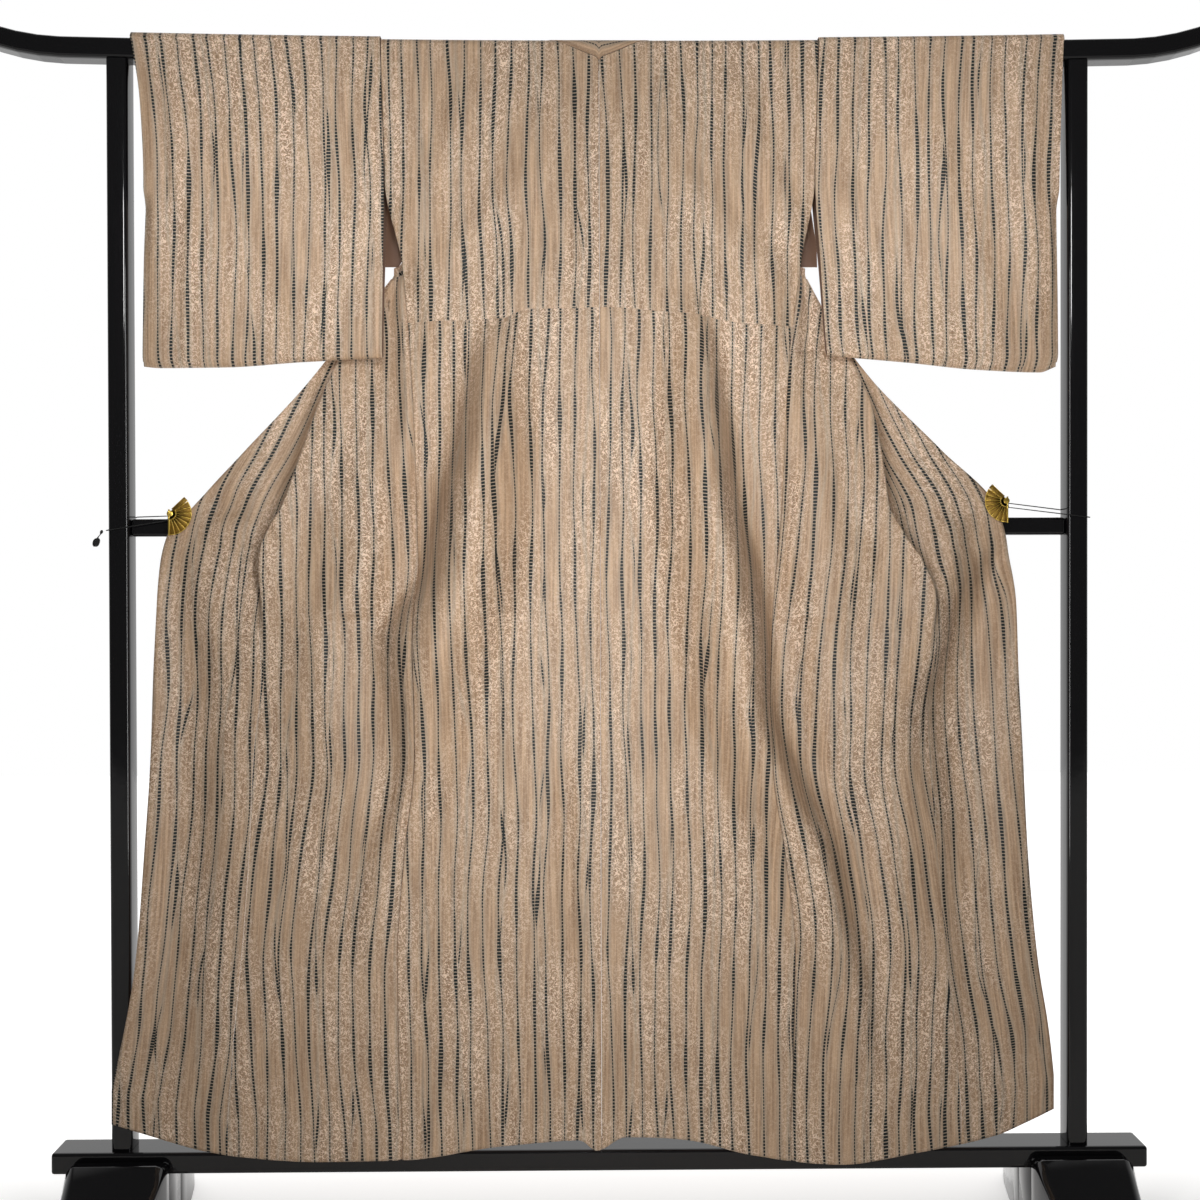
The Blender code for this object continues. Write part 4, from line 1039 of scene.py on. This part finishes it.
def stripe_masks(tree, u, v, stripes):
    """How much a spot is covered by one family's dashes, and by the pale weave beside them."""
    place = add_node(tree, "CombineXYZ", {2: stripes.variant}, {0: u, 1: v})
    drift = add_node(tree, "TexNoise", {"Scale": 4.5, "Detail": 1.0, "Roughness": 0.4},
                     {"Vector": place})
    moved = add_node(tree, "Math", {"operation": "MULTIPLY_ADD", 1: stripes.wander},
                     {0: drift, 2: u})
    counted = add_node(tree, "Math", {"operation": "DIVIDE", 1: stripes.apart}, {0: moved})
    number = add_node(tree, "Math", {"operation": "FLOOR"}, {0: counted})
    within = add_node(tree, "Math", {"operation": "FRACT"}, {0: counted})
    own = add_node(tree, "Math", {"operation": "MULTIPLY_ADD", 1: 7.7, 2: stripes.variant},
                   {0: number})
    lane = add_node(tree, "CombineXYZ", {2: 5.0}, {0: own, 1: v})
    sway = add_node(tree, "TexNoise", {"Scale": 3.2, "Detail": 1.0, "Roughness": 0.35},
                    {"Vector": lane})
    # the stripe's middle within its lane, 0.5 on average
    middle = add_node(tree, "MapRange", {"From Min": 0.25, "From Max": 0.75, "To Min": 0.28,
                                         "To Max": 0.72}, {"Value": sway})
    off = add_node(tree, "Math", {"operation": "SUBTRACT"}, {0: within, 1: middle})
    off = add_node(tree, "Math", {"operation": "ABSOLUTE"}, {0: off})
    distance = add_node(tree, "Math", {"operation": "MULTIPLY", 1: stripes.apart}, {0: off})
    girth_lane = add_node(tree, "CombineXYZ", {2: 19.0}, {0: own, 1: v})
    girth = add_node(tree, "TexNoise", {"Scale": 9.0, "Detail": 1.5, "Roughness": 0.5},
                     {"Vector": girth_lane})
    half = add_node(tree, "MapRange", {"From Min": 0.44, "From Max": 0.76, "To Min":
                                       stripes.thinnest, "To Max": stripes.widest},
                    {"Value": girth})
    inside = add_node(tree, "Math", {"operation": "SUBTRACT"}, {0: half, 1: distance})
    cover = add_node(tree, "MapRange", {"From Min": -0.0003, "From Max": 0.0004},
                     {"Value": inside})
    halo = add_node(tree, "MapRange", {"From Min": -0.0050, "From Max": -0.0010},
                    {"Value": inside})
    started = add_node(tree, "TexWhiteNoise", {"noise_dimensions": "1D"}, {"W": own})
    beat = add_node(tree, "Math", {"operation": "MULTIPLY_ADD", 1: 1 / DASH},
                    {0: v, 2: started})
    beat = add_node(tree, "Math", {"operation": "FRACT"}, {0: beat})
    beat = add_node(tree, "Math", {"operation": "SUBTRACT", 1: 0.5}, {0: beat})
    beat = add_node(tree, "Math", {"operation": "ABSOLUTE"}, {0: beat})
    dash = add_node(tree, "MapRange", {"From Min": DASH_SHARE - 0.05,
                                       "From Max": DASH_SHARE + 0.05,
                                       "To Min": 1.0, "To Max": 0.12}, {"Value": beat})
    return add_node(tree, "Math", {"operation": "MULTIPLY"}, {0: cover, 1: dash}), halo


def woven_silk(colours):
    """Figured silk with woven wavy stripes: dashes of dark weft with a pale edge, on tan."""
    made, tree, shader = new_material("woven_silk", {
        "Roughness": 0.46, "Specular IOR Level": 0.30, "Sheen Weight": 0.04,
        "Sheen Roughness": 0.35})
    chart = add_node(tree, "UVMap", {"uv_map": "cloth"})
    split = add_node(tree, "SeparateXYZ", {}, {0: chart})
    masks = [stripe_masks(tree, split.outputs[0], split.outputs[1], stripes)
             for stripes in STRIPES]
    dark, halo = (add_node(tree, "Math", {"operation": "MAXIMUM"},
                           {0: masks[0][part], 1: masks[1][part]}) for part in (0, 1))
    # streaks of uneven yarn, about 3 mm apart
    streak_place = add_node(tree, "Mapping", {"Scale": (320.0, 9.0, 1.0)}, {"Vector": chart})
    streak = add_node(tree, "TexNoise", {"Scale": 1.0, "Detail": 2.0}, {"Vector": streak_place})
    # broad clouds where the figure shows
    cloud_place = add_node(tree, "Mapping", {"Scale": (14.0, 5.0, 1.0)}, {"Vector": chart})
    cloud = add_node(tree, "TexNoise", {"Scale": 1.0, "Detail": 2.5}, {"Vector": cloud_place})
    # the figure: small curls of about 4 mm, drawn where a noise crosses its middle
    curl = add_node(tree, "TexNoise", {"Scale": 215.0, "Detail": 1.0, "Distortion": 0.7},
                    {"Vector": chart})
    curl = add_node(tree, "Math", {"operation": "SUBTRACT", 1: 0.5}, {0: curl})
    curl = add_node(tree, "Math", {"operation": "ABSOLUTE"}, {0: curl})
    curl = add_node(tree, "MapRange", {"From Min": 0.02, "From Max": 0.07, "To Min": 1.0,
                                       "To Max": 0.0}, {"Value": curl})
    shown = add_node(tree, "MapRange", {"From Min": 0.40, "From Max": 0.60, "To Min": 0.18,
                                        "To Max": 1.00}, {"Value": cloud})
    figure = add_node(tree, "Math", {"operation": "MULTIPLY"}, {0: curl, 1: shown})
    streaked = add_node(tree, "MapRange", {"From Min": 0.33, "From Max": 0.67},
                        {"Value": streak})
    ground = add_node(tree, "Mix", {**RGBA, 6: colours.ground_deep, 7: colours.ground_light},
                      {0: streaked}).outputs[COLOUR]
    browned = add_node(tree, "MapRange", {"From Min": 0.45, "From Max": 0.70, "To Max": 0.45},
                       {"Value": cloud})
    pale = add_node(tree, "Math", {"operation": "MULTIPLY", 1: 0.38}, {0: halo})
    for share, colour in ((browned, colours.figured), (figure, colours.figure),
                          (pale, colours.halo), (dark, colours.stripe)):
        ground = add_node(tree, "Mix", {**RGBA, 7: colour},
                          {0: share, 6: ground}).outputs[COLOUR]
    height = add_node(tree, "Math", {"operation": "MULTIPLY_ADD", 1: 0.5},
                      {0: streak, 2: figure})
    bump = add_node(tree, "Bump", {"Strength": 0.25, "Distance": 0.0004}, {"Height": height})
    join(tree, shader, {"Base Color": ground, "Normal": bump})
    return made


def plain_lining(colours):
    """Plain soft silk lining, brown-beige, softly mottled."""
    made, tree, shader = new_material("plain_lining", {"Roughness": 0.6,
                                                       "Specular IOR Level": 0.3})
    chart = add_node(tree, "UVMap", {"uv_map": "cloth"})
    cloud = add_node(tree, "TexNoise", {"Scale": 25.0, "Detail": 3.0}, {"Vector": chart})
    tone = add_node(tree, "Mix", {**RGBA, 6: colours.lining_deep, 7: colours.lining_light},
                    {0: cloud})
    join(tree, shader, {"Base Color": tone.outputs[COLOUR]})
    return made


def mottled(name, settings, scale, detail, tones=None, gloss=None, relief_depth=None):
    """A hard finish that one noise varies: its two tones, its roughness range, its relief."""
    made, tree, shader = new_material(name, settings)
    place = add_node(tree, "TexCoord").outputs["Object"]
    vary = add_node(tree, "TexNoise", {"Scale": scale, "Detail": detail}, {"Vector": place})
    if tones:
        tone = add_node(tree, "Mix", {**RGBA, 6: tones[0], 7: tones[1]}, {0: vary})
        join(tree, shader, {"Base Color": tone.outputs[COLOUR]})
    if gloss:
        rough = add_node(tree, "MapRange", {"To Min": gloss[0], "To Max": gloss[1]},
                         {"Value": vary})
        join(tree, shader, {"Roughness": rough})
    if relief_depth:
        bump = add_node(tree, "Bump", {"Strength": relief_depth[0],
                                       "Distance": relief_depth[1]}, {"Height": vary})
        join(tree, shader, {"Normal": bump})
    return made


def black_lacquer():
    """Sprayed and polished black lacquer: near mirror, with a faint ripple."""
    return mottled("black_lacquer", {"Base Color": linear("#0b0a0c"), "IOR": 1.52},
                   60.0, 1.0, gloss=(0.05, 0.13), relief_depth=(0.05, 0.001))


def gilt_brass():
    """Pressed and gilt brass: warm yellow metal, a little uneven in its polish."""
    return mottled("gilt_brass", {"Metallic": 1.0}, 400.0, 2.0,
                   tones=("#a97a1c", "#dcb14a"), gloss=(0.16, 0.36))


def darkened_brass():
    """Brass left dark and olive in the pressed hollows, where the gilding is not rubbed."""
    return mottled("darkened_brass", {"Metallic": 0.7, "Roughness": 0.45}, 260.0, 2.0,
                   tones=("#5c4515", "#9c7a2e"))


def elastic_cord():
    """Thin braided elastic, matt black."""
    return mottled("elastic_cord", {"Roughness": 0.75}, 1500.0, 1.0,
                   tones=("#0a0a0b", "#26252a"), relief_depth=(0.4, 0.0003))


def material_named(name, make, *details):
    """A material made once and then shared."""
    return bpy.data.materials.get(name) or make(*details)


# --- settings ------------------------------------------------------------------------------------

class KimonoCloth(bpy.types.PropertyGroup):
    """Sizes of the cloth's surface."""
    spacing: FloatProperty(name="Spacing", description="Distance between points of the cloth",
                           default=0.005, min=0.002, unit="LENGTH")
    wall: FloatProperty(name="Wall", description="Thickness of the lined silk",
                        default=0.0012, min=0.0005, unit="LENGTH")


class KimonoColours(bpy.types.PropertyGroup):
    """Colours of the silk and its lining, as sRGB hex."""
    ground_deep: StringProperty(name="Ground, deep", description="Tan between yarn streaks",
                                default="#9a7c61")
    ground_light: StringProperty(name="Ground, light", description="Tan on yarn streaks",
                                 default="#c9aa8b")
    figured: StringProperty(name="Figured ground", description="Brown between the figure's curls",
                            default="#8e7159")
    figure: StringProperty(name="Figure", description="Woven figure", default="#efd6be")
    halo: StringProperty(name="Halo", description="Pale weave beside a stripe", default="#a9a294")
    stripe: StringProperty(name="Stripe", description="Dark weft of the stripes",
                           default="#0b1719")
    lining_deep: StringProperty(name="Lining, deep", description="Lining's deeper tone",
                                default="#6a4f40")
    lining_light: StringProperty(name="Lining, light", description="Lining's lighter tone",
                                 default="#7d6352")


class KimonoStudio(bpy.types.PropertyGroup):
    """The studio's lights and camera."""
    key: FloatProperty(name="Key", description="Power of the key light in watts",
                       default=7.6, min=0.0, unit="POWER")
    sleeves: FloatProperty(name="Sleeve lights", default=0.46, min=0.0, unit="POWER",
                           description="Power of each sleeve's light in watts")
    near: FloatProperty(name="Near strip", default=0.55, min=0.0, unit="POWER",
                        description="Power of the strip close to the cloth, in watts")
    top: FloatProperty(name="Top light", default=1.0, min=0.0, unit="POWER",
                       description="Power of the light above, in watts")
    fill: FloatProperty(name="Fill", description="Brightness of the room in front",
                        default=0.12, min=0.0)
    focal: FloatProperty(name="Focal length", description="Lens, in millimetres",
                         default=42.45, min=1.0, unit="CAMERA")
    distance: FloatProperty(name="Distance", description="Camera to the stand's middle plane",
                            default=2.020, unit="LENGTH")
    height: FloatProperty(name="Height", description="Camera above the floor", default=0.924,
                          unit="LENGTH")


# --- operators -----------------------------------------------------------------------------------

class KIMONO_OT_cloth(bpy.types.Operator):
    """Builds every piece of the garment"""
    bl_idname = "kimono.cloth"
    bl_label = "Garment"

    def execute(self, context):
        sizes, colours = context.scene.kimono_cloth, context.scene.kimono_colours
        silk = material_named("woven_silk", woven_silk, colours)
        lining = material_named("plain_lining", plain_lining, colours)
        spacing = sizes.spacing
        wall = (sizes.wall, silk, lining)
        for side in SIDES:
            build_body(side, spacing, *wall)
            build_skirt_piece("front_" + side + "_silk", "front_" + side, side, front_path,
                              round(0.20 / spacing), "side",
                              {"shift": CUT_AT["front"], "flat": (0.244, 1.260), "area": 0.266,
                               "rests_on": ["body_" + side]}, spacing, wall)
            build_skirt_piece("overlap_" + side + "_silk", "overlap_" + side, side,
                              overlap_path, round(0.15 / spacing), "grain",
                              {"shift": CUT_AT["overlap"], "flat": (0.207, 1.310), "area": 0.166,
                               "rests_on": ["front_" + side]}, spacing, wall)
            build_sleeve(side, spacing, *wall)
        build_collar(spacing, sizes.wall, silk)
        return {"FINISHED"}


class KIMONO_OT_stand(bpy.types.Operator):
    """Lacquers the stand and gives it its posts and feet"""
    bl_idname = "kimono.stand"
    bl_label = "Stand"

    def execute(self, context):
        lacquer = material_named("black_lacquer", black_lacquer)
        for name in ("top_bar", "mid_rail", "base_beam"):
            coat(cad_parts[name], lacquer)
        for side in SIDES:
            build_post(side, lacquer)
            build_foot(side, lacquer)
        return {"FINISHED"}


class KIMONO_OT_clips(bpy.types.Operator):
    """Builds the gilt fans and finishes the clips and their cords"""
    bl_idname = "kimono.clips"
    bl_label = "Clips"

    def execute(self, context):
        brass = material_named("gilt_brass", gilt_brass)
        recess = material_named("darkened_brass", darkened_brass)
        elastic = material_named("elastic_cord", elastic_cord)
        for name, finish in (("clip_left", brass), ("clip_right", brass),
                             ("cord_left", elastic), ("cord_right", elastic),
                             ("cord_stop", elastic)):
            coat(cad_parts[name], finish)
        for side in SIDES:
            build_fan(side, brass, recess)
        return {"FINISHED"}


SWEEP_HALF = 5.0
FLOOR_DROP = 0.0005      # under the feet, so that the faces do not share a plane
# A light: which setting gives its power, its width and height, its place, what it is aimed at,
# and its beam in degrees
Lamp = namedtuple("Lamp", "name setting width height place aim beam")
LAMPS = table(
    Lamp,
    ("key", "key", 0.13, 1.30, (0.0, -1.00, 0.98), (0.0, 0.0, 0.96), 180),
    ("near_strip", "near", 0.05, 0.90, (0.0, -0.50, 0.95), (0.0, 0.0, 0.93), 180),
    ("top_light", "top", 0.90, 0.25, (0.0, -0.60, 2.40), (0.0, 0.0, 1.15), 180),
    ("sleeve_light_left", "sleeves", 0.30, 0.30, (-0.62, -1.5, 1.72), (-0.50, 0.0, 1.45), 40),
    ("sleeve_light_right", "sleeves", 0.30, 0.30, (0.62, -1.5, 1.72), (0.50, 0.0, 1.45), 40))
# How the camera is shifted sideways, turned, tipped down and tilted, in metres and degrees
CAMERA_X, CAMERA_TURN, CAMERA_TIP, CAMERA_TILT = -0.023, -0.65, 0.48, -0.14


class KIMONO_OT_stage(bpy.types.Operator):
    """Sets the pale floor, the soft lights and the camera"""
    bl_idname = "kimono.stage"
    bl_label = "Studio"

    def execute(self, context):
        studio = context.scene.kimono_studio
        scene = context.scene
        scene.view_settings.view_transform = "Standard"
        world = bpy.data.worlds.new("studio")
        scene.world = world
        world.use_nodes = True
        tree = world.node_tree
        tree.nodes.clear()
        # white behind the stand, dim in front of it
        way = add_node(tree, "SeparateXYZ", {},
                       {0: add_node(tree, "TexCoord").outputs["Generated"]}).outputs[1]
        strength = add_node(tree, "MapRange", {"From Min": 0.03, "From Max": 0.30,
                                               "To Min": studio.fill, "To Max": 1.0},
                            {"Value": way})
        shade = add_node(tree, "Background", {"Color": (1.0, 1.0, 1.0, 1.0)},
                         {"Strength": strength})
        add_node(tree, "OutputWorld", {}, {"Surface": shade})

        deselect()
        bpy.ops.mesh.primitive_plane_add(size=2 * SWEEP_HALF, location=(0, 0, -FLOOR_DROP))
        floor = context.active_object
        floor.name = "floor"
        paper, tree, shader = new_material("floor_paper", {
            "Base Color": linear("#efeeec"), "Roughness": 0.9,
            "Emission Color": linear("#ffffff")})
        # painted light: the floor glows, from none in front of the stand to strong behind it,
        # where it meets the white background
        away = add_node(tree, "SeparateXYZ", {},
                        {0: add_node(tree, "TexCoord").outputs["Object"]}).outputs[1]
        painted_glow = add_node(tree, "MapRange", {"From Min": -0.10, "From Max": 0.35,
                                           "To Max": 0.85}, {"Value": away})
        join(tree, shader, {"Emission Strength": painted_glow})
        floor.data.materials.append(paper)

        for name, setting, width, height, place, aim, beam in LAMPS:
            light = bpy.data.lights.new(name, "AREA")
            light.energy = getattr(studio, setting)
            light.shape = "RECTANGLE"
            light.size, light.size_y = width, height
            light.spread = math.radians(beam)
            lamp = bpy.data.objects.new(name, light)
            lamp.location = place
            lamp.rotation_euler = (Vector(aim) - lamp.location).to_track_quat("-Z", "Y").to_euler()
            scene.collection.objects.link(lamp)

        lens = bpy.data.cameras.new("camera")
        lens.lens = studio.focal
        lens.sensor_width = 36.0
        camera = bpy.data.objects.new("camera", lens)
        camera.matrix_world = (Matrix.Translation((CAMERA_X, -studio.distance, studio.height))
                               @ Matrix.Rotation(math.radians(CAMERA_TURN), 4, "Z")
                               @ Matrix.Rotation(math.radians(90 - CAMERA_TIP), 4, "X")
                               @ Matrix.Rotation(math.radians(CAMERA_TILT), 4, "Z"))
        scene.collection.objects.link(camera)
        scene.camera = camera
        return {"FINISHED"}


class KIMONO_PT_panel(bpy.types.Panel):
    """The kimono's settings and builders"""
    bl_label = "Kimono"
    bl_space_type = "VIEW_3D"
    bl_region_type = "UI"
    bl_category = "Kimono"

    def draw(self, context):
        for group in (context.scene.kimono_cloth, context.scene.kimono_colours,
                      context.scene.kimono_studio):
            for name in group.__annotations__:
                self.layout.prop(group, name)
        for operator in OPERATORS:
            self.layout.operator(operator.bl_idname)


OPERATORS = (KIMONO_OT_cloth, KIMONO_OT_stand, KIMONO_OT_clips, KIMONO_OT_stage)
GROUPS = {"kimono_cloth": KimonoCloth, "kimono_colours": KimonoColours,
          "kimono_studio": KimonoStudio}


def register():
    """Adds the settings, the operators and the panel."""
    for name, group in GROUPS.items():
        bpy.utils.register_class(group)
        setattr(bpy.types.Scene, name, PointerProperty(type=group))
    for part in OPERATORS + (KIMONO_PT_panel,):
        bpy.utils.register_class(part)


def unregister():
    """Takes them out again."""
    for part in (KIMONO_PT_panel,) + OPERATORS[::-1]:
        bpy.utils.unregister_class(part)
    for name, group in GROUPS.items():
        delattr(bpy.types.Scene, name)
        bpy.utils.unregister_class(group)


def main():
    """Builds everything in order."""
    register()
    bpy.ops.kimono.cloth()
    bpy.ops.kimono.stand()
    bpy.ops.kimono.clips()
    bpy.ops.kimono.stage()


if __name__ == "__main__":
    main()
